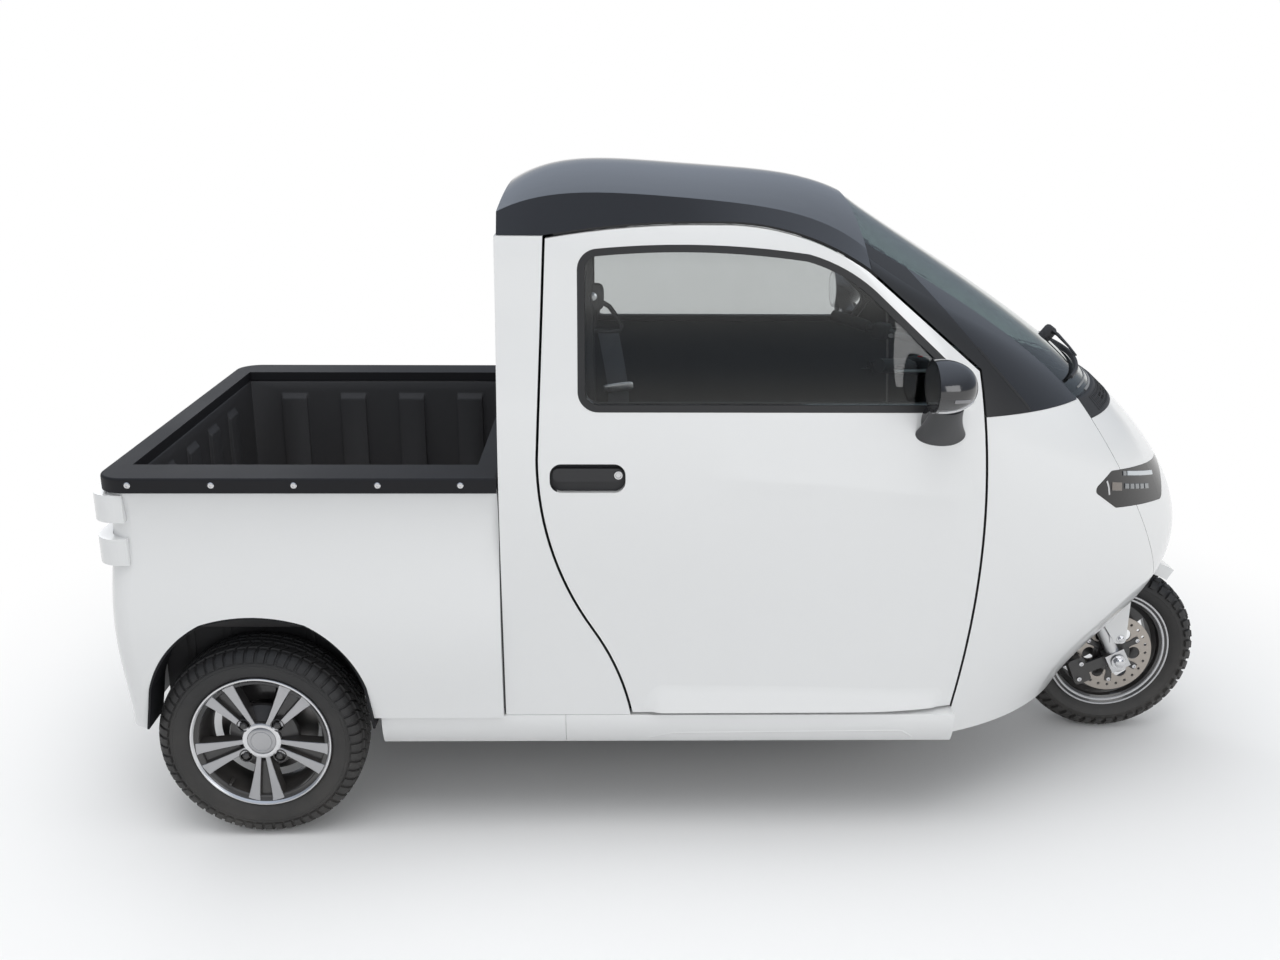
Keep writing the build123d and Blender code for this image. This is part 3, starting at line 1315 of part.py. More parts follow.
# Front wheel: tyre, rim with its hub, and the brake disc on the hub's right end
FRONT_RIM_HALF = 43
FRONT_BEAD_HALF = 36
FRONT_HUB_R = 34
FRONT_HUB_HALF = 60
FRONT_SPOKE_DEPTH = 24
DISC_R = 112
DISC = 4
FRONT_HUB = Plane((FRONT_AXLE_X, 0, FRONT_TYRE_R))
FRONT_HUB_AXIS = Axis((FRONT_AXLE_X, 0, FRONT_TYRE_R), (0, 1, 0))

with BuildPart() as front_tyre:
    with BuildSketch(FRONT_HUB):
        with BuildLine():
            tyre_profile(FRONT_RIM_R, FRONT_TYRE_R, FRONT_TYRE_WIDTH / 2, FRONT_BEAD_HALF, 26)
        make_face()
    revolve(axis=FRONT_HUB_AXIS)
front_tyre.part.label = "front_tyre"
export_step(front_tyre.part, "parts/front_tyre.step")

with BuildPart() as front_rim:
    with BuildSketch(FRONT_HUB):
        with BuildLine():
            rim_profile(FRONT_RIM_R, FRONT_RIM_HALF, FRONT_BEAD_HALF)
        make_face()
    revolve(axis=FRONT_HUB_AXIS)
    with BuildSketch(Plane.XZ.offset(-FRONT_SPOKE_DEPTH / 2)):
        with Locations((FRONT_AXLE_X, FRONT_TYRE_R)):
            Circle(WELL_R + RIM_WALL / 2)
            with PolarLocations(84, SPOKE_PAIRS, 90):
                Polygon((-40, -14), (36, -48), (36, 48), (-40, 14), align=None, mode=Mode.SUBTRACT)
    extrude(amount=FRONT_SPOKE_DEPTH)
    with BuildSketch(Plane.XZ):
        with Locations((FRONT_AXLE_X, FRONT_TYRE_R)):
            Circle(FRONT_HUB_R)
    extrude(amount=FRONT_HUB_HALF, both=True)
    with BuildSketch(Plane.XZ):
        with Locations((FRONT_AXLE_X, FRONT_TYRE_R)):
            Circle(FRONT_BORE_R + RUNNING_CLEARANCE)
    extrude(amount=FRONT_HUB_HALF * 2, both=True, mode=Mode.SUBTRACT)
front_rim.part.label = "front_rim"
export_step(front_rim.part, "parts/front_rim.step")

with BuildPart() as front_disc:
    with BuildSketch(Plane.XZ.offset(FRONT_HUB_HALF + FIT)):
        with Locations((FRONT_AXLE_X, FRONT_TYRE_R)):
            Circle(DISC_R)
            Circle(FRONT_BORE_R + 8, mode=Mode.SUBTRACT)
            with PolarLocations(62, 6, 0):
                Circle(18, mode=Mode.SUBTRACT)
            with PolarLocations(96, 24, 0):
                Circle(4, mode=Mode.SUBTRACT)
    extrude(amount=DISC)
front_disc.part.label = "front_disc"
export_step(front_disc.part, "parts/front_disc.step")

# Front fork: two legs on a crown, the steering stem above it and the axle below
LEG_Y = 98
LEG_R = 18
LEG_FOOT = -34
BLOCK = 54
BLOCK_HALF = LEG_R + 2
AXLE_END = LEG_Y + BLOCK_HALF + 4
STAY_BOLT = (FRONT_AXLE_X - 2, 312)
STAY_LUG_R = 14

with BuildPart() as fork:
    with BuildSketch(up_axis(LEG_FOOT)):
        with Locations((-LEG_Y, 0), (LEG_Y, 0)):
            Circle(LEG_R)
    extrude(amount=CROWN_UNDER + CROWN_DEPTH - LEG_FOOT)
    with BuildSketch(up_axis(CROWN_UNDER)):
        RectangleRounded(2 * (LEG_Y + LEG_R + 10), 64, 24)
    extrude(amount=CROWN_DEPTH)
    with BuildSketch(up_axis(CROWN_UNDER)):
        Circle(STEER_BORE_R)
    extrude(amount=STEM_TOP - CROWN_UNDER)
    with BuildSketch(Plane.XZ):
        with Locations((FRONT_AXLE_X, FRONT_TYRE_R)):
            Circle(FRONT_BORE_R)
    extrude(amount=AXLE_END, both=True)
    for side in (-1, 1):
        with BuildSketch(Plane.XZ.offset(side * LEG_Y - BLOCK_HALF)):
            with Locations((FRONT_AXLE_X, FRONT_TYRE_R)):
                Rectangle(BLOCK, BLOCK, rotation=RAKE)
            with Locations(STAY_BOLT):
                Circle(STAY_LUG_R)
            with Locations((STAY_BOLT[0] - STAY_LUG_R, STAY_BOLT[1])):
                Rectangle(2 * STAY_LUG_R, 2 * STAY_LUG_R)
        extrude(amount=2 * BLOCK_HALF)
fork.part.label = "fork"
export_step(fork.part, "parts/fork.step")

# Front mudguard on the fork crown
GUARD_R = 286
GUARD_SHEET = 5
GUARD_HALF = 67
GUARD_SKIRT = 34
GUARD_START = 60
GUARD_SWEEP = 106
STAY = 4
STAY_Y = LEG_Y + BLOCK_HALF + FIT + STAY / 2
STAY_TOP = 504
STAY_REACH = 74
STAY_CORNER_R = 10
bolt_x, bolt_z = STAY_BOLT
GUARD_OUT = (cos(radians(GUARD_START)), 0, sin(radians(GUARD_START)))
GUARD_ROUND = (-sin(radians(GUARD_START)), 0, cos(radians(GUARD_START)))
GUARD_PLANE = Plane((FRONT_AXLE_X, 0, FRONT_TYRE_R), x_dir=GUARD_OUT, z_dir=GUARD_ROUND)
GUARD_EDGE = GUARD_R - GUARD_SKIRT
GUARD_UNDER = GUARD_R - GUARD_SHEET
GUARD_INNER = GUARD_HALF - GUARD_SHEET

with BuildPart() as front_mudguard:
    with BuildSketch(GUARD_PLANE):
        with BuildLine():
            Polyline((GUARD_R, -GUARD_HALF), (GUARD_R, GUARD_HALF), (GUARD_EDGE, GUARD_HALF),
                     (GUARD_EDGE, GUARD_INNER), (GUARD_UNDER, GUARD_INNER), (GUARD_UNDER, -GUARD_INNER),
                     (GUARD_EDGE, -GUARD_INNER), (GUARD_EDGE, -GUARD_HALF), close=True)
        make_face()
    revolve(axis=Axis((FRONT_AXLE_X, 0, FRONT_TYRE_R), (0, -1, 0)), revolution_arc=GUARD_SWEEP)
    with BuildSketch(up_axis(GUARD_UNDER)):
        Rectangle(70, 50)
    extrude(amount=CROWN_UNDER - FIT - GUARD_UNDER)
    for side in (-1, 1):
        with BuildSketch(Plane.XZ.offset(side * STAY_Y - STAY / 2)):
            with BuildLine():
                FilletPolyline((bolt_x + STAY_LUG_R, bolt_z - STAY_LUG_R), (bolt_x + STAY_LUG_R, STAY_TOP),
                               (bolt_x - STAY_REACH, STAY_TOP), (bolt_x - STAY_REACH, bolt_z + STAY_REACH),
                               (bolt_x - STAY_LUG_R, bolt_z - STAY_LUG_R), radius=STAY_CORNER_R, close=True)
            make_face()
        extrude(amount=STAY)
        with BuildSketch(Plane.XY.offset(STAY_TOP)):
            with Locations((bolt_x - STAY_REACH / 2, side * (STAY_Y + STAY / 2 + GUARD_INNER) / 2)):
                Rectangle(STAY_REACH, STAY_Y + STAY / 2 - GUARD_INNER)
        extrude(amount=-STAY)
front_mudguard.part.label = "front_mudguard"
export_step(front_mudguard.part, "parts/front_mudguard.step")

# Front caliper behind the right leg, on an arm from the axle block
FRONT_CALIPER = (FRONT_AXLE_X - 92, FRONT_TYRE_R - 42)
FRONT_CALIPER_IN = FRONT_HUB_HALF - 14
FRONT_CALIPER_OUT = LEG_Y - LEG_R + 12
FRONT_CALIPER_TURN = 24
FRONT_CALIPER_ARM = 30

with BuildPart() as front_caliper:
    with BuildSketch(Plane.XZ.offset(FRONT_CALIPER_IN)):
        with Locations(FRONT_CALIPER):
            RectangleRounded(46, 76, 10, rotation=FRONT_CALIPER_TURN)
    extrude(amount=FRONT_CALIPER_OUT - FRONT_CALIPER_IN)
    with BuildSketch(Plane.XZ.offset(FRONT_HUB_HALF + FIT - DISC_ROOM)):
        with Locations((FRONT_AXLE_X, FRONT_TYRE_R)):
            Circle(DISC_R + DISC_ROOM)
    extrude(amount=DISC + 2 * DISC_ROOM, mode=Mode.SUBTRACT)
    with BuildSketch(Plane.XZ.offset(FRONT_CALIPER_OUT - BRACKET)):
        with BuildLine():
            Polyline(FRONT_CALIPER, (FRONT_AXLE_X, FRONT_TYRE_R))
        trace(line_width=FRONT_CALIPER_ARM)
    extrude(amount=BRACKET)
    add(fork.part, mode=Mode.SUBTRACT)
front_caliper.part.label = "front_caliper"
export_step(front_caliper.part, "parts/front_caliper.step")

# Handlebar across the top of the stem, swept back to the grips
BAR_R = 11
BAR_BEND_R = 40
BAR_RISE = 11
BAR_POINTS = ((110, 0), (250, 235), (335, 330))
GRIP_R = 17
GRIP_LENGTH = 118
BAR_Z = (sin(radians(BAR_RISE)), 0, cos(radians(BAR_RISE)))
BAR_PLANE = Plane(up_axis(STEM_TOP + BAR_R + FIT).origin, x_dir=(0, 1, 0), z_dir=BAR_Z)

with BuildPart() as handlebar:
    with BuildLine(BAR_PLANE) as bar_path:
        FilletPolyline(*[(-u, v) for u, v in reversed(BAR_POINTS)], *BAR_POINTS, radius=BAR_BEND_R)
    with BuildSketch(Plane(bar_path.line @ 0, z_dir=bar_path.line % 0)):
        Circle(BAR_R)
    sweep()
handlebar.part.label = "handlebar"
export_step(handlebar.part, "parts/handlebar.step")

with BuildPart() as grips:
    for plane in (Plane(bar_path.line @ 0, z_dir=bar_path.line % 0),
                  Plane(bar_path.line @ 1, z_dir=(bar_path.line % 1) * -1)):
        with BuildSketch(plane):
            Circle(GRIP_R)
            Circle(BAR_R + RUNNING_CLEARANCE, mode=Mode.SUBTRACT)
        extrude(amount=GRIP_LENGTH)
grips.part.label = "grips"
export_step(grips.part, "parts/grips.step")
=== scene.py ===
import bmesh
import bpy
import math
from mathutils import Matrix, Vector
from mathutils.bvhtree import BVHTree


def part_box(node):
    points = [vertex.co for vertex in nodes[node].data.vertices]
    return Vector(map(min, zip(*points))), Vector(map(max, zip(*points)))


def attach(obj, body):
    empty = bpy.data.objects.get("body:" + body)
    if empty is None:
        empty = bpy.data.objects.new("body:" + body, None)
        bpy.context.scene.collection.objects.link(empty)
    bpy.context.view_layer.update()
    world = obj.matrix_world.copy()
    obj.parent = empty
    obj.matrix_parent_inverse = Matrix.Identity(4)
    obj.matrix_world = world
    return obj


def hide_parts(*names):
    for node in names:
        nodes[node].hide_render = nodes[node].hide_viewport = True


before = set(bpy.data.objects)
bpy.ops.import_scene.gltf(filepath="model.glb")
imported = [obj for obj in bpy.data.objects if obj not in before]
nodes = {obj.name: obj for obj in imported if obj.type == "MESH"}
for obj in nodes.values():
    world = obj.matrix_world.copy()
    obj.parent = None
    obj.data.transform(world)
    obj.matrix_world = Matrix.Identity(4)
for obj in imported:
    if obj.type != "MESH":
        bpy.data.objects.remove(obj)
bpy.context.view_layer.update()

# Photographer's set: a pale floor that fades into white, a white sky and three large soft lamps round the vehicle.
# The camera stands at the right side, a little above the roof, as in the photograph.
def new_material(name, colour, roughness, metallic=0.0, coat=0.0, specular=0.5):
    """A plain finish, and the shader that its details are linked to."""
    made = bpy.data.materials.new(name)
    made.use_nodes = True
    shader = made.node_tree.nodes["Principled BSDF"]
    shader.inputs["Base Color"].default_value = (*colour, 1)
    shader.inputs["Roughness"].default_value = roughness
    shader.inputs["Metallic"].default_value = metallic
    shader.inputs["Coat Weight"].default_value = coat
    shader.inputs["Coat Roughness"].default_value = 0.04
    shader.inputs["Specular IOR Level"].default_value = specular
    return made, shader


def add_node(tree, kind, **settings):
    """A node with its sockets and options set by name."""
    node = tree.nodes.new(kind)
    for key, value in settings.items():
        if key in node.inputs:
            node.inputs[key].default_value = value
        else:
            setattr(node, key, value)
    return node


def chain(tree, *links):
    for source, target in links:
        tree.links.new(source, target)


def seen_directly(tree):
    """One for what the camera sees plainly, through glass or mirrored in gloss, else nought."""
    rays = add_node(tree, "ShaderNodeLightPath")
    plain = add_node(tree, "ShaderNodeMath", operation="ADD", use_clamp=True)
    seen = add_node(tree, "ShaderNodeMath", operation="ADD", use_clamp=True)
    chain(tree, (rays.outputs["Is Camera Ray"], plain.inputs[0]),
          (rays.outputs["Is Transmission Ray"], plain.inputs[1]), (plain.outputs[0], seen.inputs[0]),
          (rays.outputs["Is Glossy Ray"], seen.inputs[1]))
    return rays, seen


FLOOR_REACH = 40
FLOOR_SHADE = 0.88       # as the camera sees it
BOUNCE_SHADE = 0.60      # as it throws light back on the vehicle
WHITE_FROM, WHITE_AT = 1.5, 2.6
floor_mesh = bpy.data.meshes.new("studio_floor")
floor_mesh.from_pydata([(-FLOOR_REACH, -FLOOR_REACH, 0), (FLOOR_REACH, -FLOOR_REACH, 0),
                        (FLOOR_REACH, FLOOR_REACH, 0), (-FLOOR_REACH, FLOOR_REACH, 0)], [], [(0, 1, 2, 3)])
studio_floor = bpy.data.objects.new("studio_floor", floor_mesh)
bpy.context.scene.collection.objects.link(studio_floor)
floor_paper, floor_shader = new_material("floor_paper", (FLOOR_SHADE,) * 3, 0.9)
floor_tree = floor_paper.node_tree
_, floor_seen = seen_directly(floor_tree)
floor_shade = add_node(floor_tree, "ShaderNodeMix", data_type="RGBA")
floor_shade.inputs["A"].default_value = (BOUNCE_SHADE, BOUNCE_SHADE, BOUNCE_SHADE, 1)
floor_shade.inputs["B"].default_value = (FLOOR_SHADE, FLOOR_SHADE, FLOOR_SHADE, 1)
floor_place = add_node(floor_tree, "ShaderNodeTexCoord")
floor_far = add_node(floor_tree, "ShaderNodeVectorMath", operation="LENGTH")
floor_fade = add_node(floor_tree, "ShaderNodeMapRange", interpolation_type="SMOOTHSTEP")
floor_fade.inputs["From Min"].default_value = WHITE_FROM
floor_fade.inputs["From Max"].default_value = WHITE_AT
floor_share = add_node(floor_tree, "ShaderNodeMath", operation="MULTIPLY")
floor_white = add_node(floor_tree, "ShaderNodeEmission", Color=(1, 1, 1, 1), Strength=1.0)
floor_mix = add_node(floor_tree, "ShaderNodeMixShader")
chain(floor_tree, (floor_seen.outputs[0], floor_shade.inputs["Factor"]),
      (floor_shade.outputs["Result"], floor_shader.inputs["Base Color"]),
      (floor_place.outputs["Object"], floor_far.inputs[0]), (floor_far.outputs["Value"], floor_fade.inputs["Value"]),
      (floor_seen.outputs[0], floor_share.inputs[0]), (floor_fade.outputs[0], floor_share.inputs[1]),
      (floor_share.outputs[0], floor_mix.inputs["Fac"]), (floor_shader.outputs[0], floor_mix.inputs[1]),
      (floor_white.outputs[0], floor_mix.inputs[2]),
      (floor_mix.outputs[0], floor_tree.nodes["Material Output"].inputs["Surface"]))
floor_mesh.materials.append(floor_paper)

world = bpy.data.worlds.new("studio_sky")
bpy.context.scene.world = world
world.use_nodes = True
sky = world.node_tree
sky.nodes.clear()
sky_rays, sky_seen = seen_directly(sky)
soft_sky = add_node(sky, "ShaderNodeBackground", Color=(0.96, 0.98, 1.0, 1), Strength=0.72)
white_sky = add_node(sky, "ShaderNodeBackground", Color=(1, 1, 1, 1), Strength=1.0)
sky_way = add_node(sky, "ShaderNodeTexCoord")
sky_height = add_node(sky, "ShaderNodeSeparateXYZ")
sky_ramp = add_node(sky, "ShaderNodeValToRGB")
SKY_SHADES = (
    # height, brightness, blueness: gloss mirrors a white horizon under a dimmer, bluer sky
    (0.0, 1.0, 1.0), (0.025, 0.6, 1.0), (0.07, 0.36, 1.08), (0.14, 0.31, 1.12), (0.5, 0.38, 1.12), (1.0, 0.8, 1.12),
)
sky_stops = sky_ramp.color_ramp.elements
for place, level, blue in SKY_SHADES:
    stop = sky_stops[0] if place == 0 else sky_stops[-1] if place == 1 else sky_stops.new(place)
    stop.color = (level * (2 - blue) ** 1.3, level * (2 - blue) ** 0.4, level * blue, 1)
mirrored_sky = add_node(sky, "ShaderNodeBackground", Strength=1.0)
sky_mix = add_node(sky, "ShaderNodeMixShader")
sky_last = add_node(sky, "ShaderNodeMixShader")
sky_out = add_node(sky, "ShaderNodeOutputWorld")
chain(sky, (sky_seen.outputs[0], sky_mix.inputs["Fac"]), (soft_sky.outputs[0], sky_mix.inputs[1]),
      (white_sky.outputs[0], sky_mix.inputs[2]), (sky_way.outputs["Generated"], sky_height.inputs[0]),
      (sky_height.outputs["Z"], sky_ramp.inputs["Fac"]), (sky_ramp.outputs["Color"], mirrored_sky.inputs["Color"]),
      (sky_rays.outputs["Is Glossy Ray"], sky_last.inputs["Fac"]), (sky_mix.outputs[0], sky_last.inputs[1]),
      (mirrored_sky.outputs[0], sky_last.inputs[2]), (sky_last.outputs[0], sky_out.inputs["Surface"]))

LAMPS = (
    # name, place, aimed at, width, depth, power
    ("overhead_lamp", (-0.6, -1.0, 5.2), (0, 0, 0.8), 5.0, 4.0, 122),
    ("camera_side_lamp", (2.8, -5.2, 2.6), (0.2, 0, 0.8), 3.0, 2.6, 62),
    ("far_side_lamp", (-3.4, 4.6, 3.2), (0, 0, 0.8), 3.0, 2.6, 40),
)
for name, place, aim, width, depth, power in LAMPS:
    lamp = bpy.data.lights.new(name, "AREA")
    lamp.shape = "RECTANGLE"
    lamp.size = width
    lamp.size_y = depth
    lamp.energy = power
    lamp_object = bpy.data.objects.new(name, lamp)
    lamp_object.location = place
    lamp_object.visible_glossy = name != "overhead_lamp"
    lamp_object.rotation_euler = (Vector(aim) - Vector(place)).to_track_quat("-Z", "Y").to_euler()
    bpy.context.scene.collection.objects.link(lamp_object)

camera = bpy.data.cameras.new("photo_camera")
camera.lens = 35.654
camera.sensor_width = 36
camera.sensor_fit = "HORIZONTAL"
camera_object = bpy.data.objects.new("photo_camera", camera)
camera_object.location = (-0.2085, -3.2633, 1.7546)
camera_object.rotation_euler = (math.radians(72.510), math.radians(-0.294), math.radians(-0.858))
bpy.context.scene.collection.objects.link(camera_object)
bpy.context.scene.camera = camera_object
bpy.context.scene.view_settings.view_transform = "Standard"

# Chassis, rear axle, springs and door hinges: welded and forged steel under satin black paint.
# The paint has a fine orange peel, and the faces near the road carry a film of dust.
def new_group(name, inputs, outputs):
    """A shader node group with named sockets, and its two end nodes."""
    group = bpy.data.node_groups.new(name, "ShaderNodeTree")
    for label, kind, value in inputs:
        socket = group.interface.new_socket(label, in_out="INPUT", socket_type=kind)
        socket.default_value = value
    for label, kind in outputs:
        group.interface.new_socket(label, in_out="OUTPUT", socket_type=kind)
    return group, group.nodes.new("NodeGroupInput"), group.nodes.new("NodeGroupOutput")


surface_group, g_in, g_out = new_group(
    "fine_surface",
    (("Scale", "NodeSocketFloat", 400.0), ("Roughness", "NodeSocketFloat", 0.3), ("Spread", "NodeSocketFloat", 0.1)),
    (("Height", "NodeSocketFloat"), ("Roughness", "NodeSocketFloat")))
g_place = add_node(surface_group, "ShaderNodeTexCoord")
g_fine = add_node(surface_group, "ShaderNodeTexNoise", Detail=3.0)
g_broad = add_node(surface_group, "ShaderNodeTexNoise", Scale=3.5, Detail=4.0)
g_centre = add_node(surface_group, "ShaderNodeMath", operation="SUBTRACT")
g_centre.inputs[1].default_value = 0.5
g_spread = add_node(surface_group, "ShaderNodeMath", operation="MULTIPLY_ADD")
chain(surface_group, (g_place.outputs["Object"], g_fine.inputs["Vector"]),
      (g_place.outputs["Object"], g_broad.inputs["Vector"]), (g_in.outputs["Scale"], g_fine.inputs["Scale"]),
      (g_broad.outputs["Fac"], g_centre.inputs[0]), (g_centre.outputs[0], g_spread.inputs[0]),
      (g_in.outputs["Spread"], g_spread.inputs[1]), (g_in.outputs["Roughness"], g_spread.inputs[2]),
      (g_fine.outputs["Fac"], g_out.inputs["Height"]), (g_spread.outputs[0], g_out.inputs["Roughness"]))

dust_group, g_in, g_out = new_group(
    "road_dust",
    (("Colour", "NodeSocketColor", (0.5, 0.5, 0.5, 1)), ("Dust", "NodeSocketColor", (0.32, 0.29, 0.25, 1)),
     ("Amount", "NodeSocketFloat", 0.3), ("Fades at", "NodeSocketFloat", 0.45)),
    (("Colour", "NodeSocketColor"),))
g_place = add_node(dust_group, "ShaderNodeTexCoord")
g_height = add_node(dust_group, "ShaderNodeSeparateXYZ")
g_cloud = add_node(dust_group, "ShaderNodeTexNoise", Scale=9.0, Detail=8.0, Roughness=0.65)
g_fall = add_node(dust_group, "ShaderNodeMapRange")
g_fall.inputs["From Min"].default_value = 0.0
g_fall.inputs["To Min"].default_value = 1.0
g_fall.inputs["To Max"].default_value = 0.0
g_patch = add_node(dust_group, "ShaderNodeMath", operation="MULTIPLY")
g_mask = add_node(dust_group, "ShaderNodeMath", operation="MULTIPLY", use_clamp=True)
g_mix = add_node(dust_group, "ShaderNodeMix", data_type="RGBA")
chain(dust_group, (g_place.outputs["Object"], g_height.inputs[0]),
      (g_place.outputs["Object"], g_cloud.inputs["Vector"]),
      (g_height.outputs["Z"], g_fall.inputs["Value"]), (g_in.outputs["Fades at"], g_fall.inputs["From Max"]),
      (g_fall.outputs[0], g_patch.inputs[0]), (g_cloud.outputs["Fac"], g_patch.inputs[1]),
      (g_patch.outputs[0], g_mask.inputs[0]), (g_in.outputs["Amount"], g_mask.inputs[1]),
      (g_mask.outputs[0], g_mix.inputs["Factor"]), (g_in.outputs["Colour"], g_mix.inputs["A"]),
      (g_in.outputs["Dust"], g_mix.inputs["B"]), (g_mix.outputs["Result"], g_out.inputs["Colour"]))


def dusted(tree, shader, colour, amount, fades_at):
    """Lay a film of road dust over a colour, thickest at the ground and gone at a height."""
    film = add_node(tree, "ShaderNodeGroup", node_tree=dust_group)
    film.inputs["Colour"].default_value = (*colour, 1)
    film.inputs["Amount"].default_value = amount
    film.inputs["Fades at"].default_value = fades_at
    tree.links.new(film.outputs["Colour"], shader.inputs["Base Color"])


def textured(name, colour, roughness, grain, depth, spread=0.1, dust=0.0, fades_at=0.45, **finish):
    """A finish with its own fine grain, broad changes of gloss, and road dust low down."""
    made, shader = new_material(name, colour, roughness, **finish)
    tree = made.node_tree
    fine = add_node(tree, "ShaderNodeGroup", node_tree=surface_group)
    fine.inputs["Scale"].default_value = grain
    fine.inputs["Roughness"].default_value = roughness
    fine.inputs["Spread"].default_value = spread
    bump = add_node(tree, "ShaderNodeBump", Strength=1.0, Distance=depth)
    chain(tree, (fine.outputs["Height"], bump.inputs["Height"]),
          (fine.outputs["Roughness"], shader.inputs["Roughness"]), (bump.outputs["Normal"], shader.inputs["Normal"]))
    if dust:
        dusted(tree, shader, colour, dust, fades_at)
    return made


def dress(finish, *names):
    """Give CAD nodes a finish, smooth but for their edges."""
    for name in names:
        part = nodes[name]
        part.data.materials.clear()
        part.data.materials.append(finish)
        part.data.shade_smooth()
        part.data.set_sharp_from_angle(angle=math.radians(28))


chassis_paint = textured("chassis_paint", (0.018, 0.018, 0.02), 0.42, 900, 0.00006, dust=0.9)
dress(chassis_paint, "chassis_frame", "rear_axle", "leaf_springs", "door_hinges")

# Motor housing on the rear axle: a cast drum with cooling fins round it and a stepped cover at each end.
# Six screws hold each cover, and the drum is bolted to the axle tube.
def settle(name, shape, finishes, body, sharp=35):
    """Make a piece of a bmesh, give it its finishes, and let it ride on a body."""
    bmesh.ops.remove_doubles(shape, verts=shape.verts, dist=0.000005)
    bmesh.ops.recalc_face_normals(shape, faces=shape.faces)
    mesh = bpy.data.meshes.new(name)
    shape.to_mesh(mesh)
    shape.free()
    for finish in finishes:
        mesh.materials.append(finish)
    mesh.shade_smooth()
    mesh.set_sharp_from_angle(angle=math.radians(sharp))
    made = bpy.data.objects.new(name, mesh)
    bpy.context.scene.collection.objects.link(made)
    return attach(made, body)


def skin(shape, rings, closed=True, caps=True, loop=False, finish=0):
    """Join rings of points into a surface; finish is one slot, or one for each strip round the ring."""
    rows = [[shape.verts.new(point) for point in ring] for ring in rings]
    count = len(rows[0])
    for low, high in zip(rows, rows[1:] + rows[:1] if loop else rows[1:]):
        for k in range(count if closed else count - 1):
            n = (k + 1) % count
            face = shape.faces.new((low[k], low[n], high[n], high[k]))
            face.material_index = finish if isinstance(finish, int) else finish[k]
    if caps and not loop:
        for row in (rows[0], rows[-1]):
            shape.faces.new(row).material_index = finish if isinstance(finish, int) else finish[0]


def lathe(shape, profile, steps, place, finish=0, closed=False):
    """Turn a profile of radius and reach about the axle line."""
    rings = []
    for step in range(steps):
        angle = 2 * math.pi * step / steps
        rings.append([place @ Vector((radius * math.cos(angle), reach, radius * math.sin(angle)))
                      for radius, reach in profile])
    skin(shape, rings, closed=closed, caps=False, loop=True, finish=finish)


REAR_AXLE = Vector((-1.063, 0, 0.247))
MOTOR_RADIUS = 0.105
FIN_COUNT, FIN_PITCH = 9, 0.0235
FIN_ROOT, FIN_TIP = MOTOR_RADIUS - 0.002, MOTOR_RADIUS + 0.011
END_COVER = ((0.034, 0.150), (0.046, 0.150), (0.052, 0.142), (0.086, 0.122), (0.094, 0.1152))
COVER_SCREW = ((0.0, 0.1215), (0.0055, 0.1212), (0.0065, 0.1200), (0.0065, 0.1145))
SCREW_CIRCLE = 0.097


def outward(side):
    """Turn a lathe's reach to the outside; side is -1 on the right."""
    return Matrix.Rotation(math.pi if side < 0 else 0, 4, "Z")


motor = bmesh.new()
for fin in range(FIN_COUNT):
    reach = (fin - (FIN_COUNT - 1) / 2) * FIN_PITCH
    section = ((FIN_ROOT, reach - 0.004), (FIN_TIP, reach - 0.002), (FIN_TIP, reach + 0.002), (FIN_ROOT, reach + 0.004))
    lathe(motor, section, 64, Matrix.Translation(REAR_AXLE))
for side in (-1, 1):
    end = Matrix.Translation(REAR_AXLE) @ outward(side)
    lathe(motor, END_COVER, 48, end)
    for screw in range(6):
        turned = end @ Matrix.Rotation(math.radians(60 * screw), 4, "Y")
        lathe(motor, COVER_SCREW, 6, turned @ Matrix.Translation((SCREW_CIRCLE, 0, 0)))
cast_grey = textured("cast_grey", (0.10, 0.10, 0.105), 0.5, 900, 0.0001, dust=0.6, metallic=0.6)
settle("motor_fins", motor, [cast_grey], "body")

# Cab floor, battery box and dashboard: black moulded plastic with a leathery grain.
# A ribbed rubber mat lies on the floor, and a screen in a rounded hood stands on the dashboard.
moulded_black = textured("moulded_black", (0.028, 0.028, 0.03), 0.55, 1400, 0.00012, spread=0.15)
rubber_black = textured("rubber_black", (0.02, 0.02, 0.021), 0.5, 800, 0.00008)
dress(moulded_black, "floor_pan", "battery_box", "dashboard")


def rib(shape, start, end, across, up, width, height, finish=0):
    """A bar with rounded shoulders along a line, standing up from it."""
    outline = ((-0.5, -0.001), (-0.46, 0.7 * height), (-0.36, height), (0.36, height), (0.46, 0.7 * height),
               (0.5, -0.001))
    skin(shape, [[place + across * (s * width) + up * h for s, h in outline] for place in (start, end)], finish=finish)


UP = Vector((0, 0, 1))
LEFT = Vector((0, 1, 0))
AHEAD = Vector((1, 0, 0))
FLOOR_TOP = 0.2822
MAT_HEIGHT = 0.005
MAT_RIBS, MAT_PITCH = 23, 0.040
mat = bmesh.new()
rib(mat, Vector((-0.30, 0, FLOOR_TOP)), Vector((0.575, 0, FLOOR_TOP)), LEFT, UP, 0.96, MAT_HEIGHT)
for row in range(MAT_RIBS):
    y = (row - (MAT_RIBS - 1) / 2) * MAT_PITCH
    start = Vector((0.19, y, FLOOR_TOP + MAT_HEIGHT))
    rib(mat, start, start + AHEAD * 0.37, LEFT, UP, 0.020, 0.003)
settle("floor_mat", mat, [rubber_black], "body")


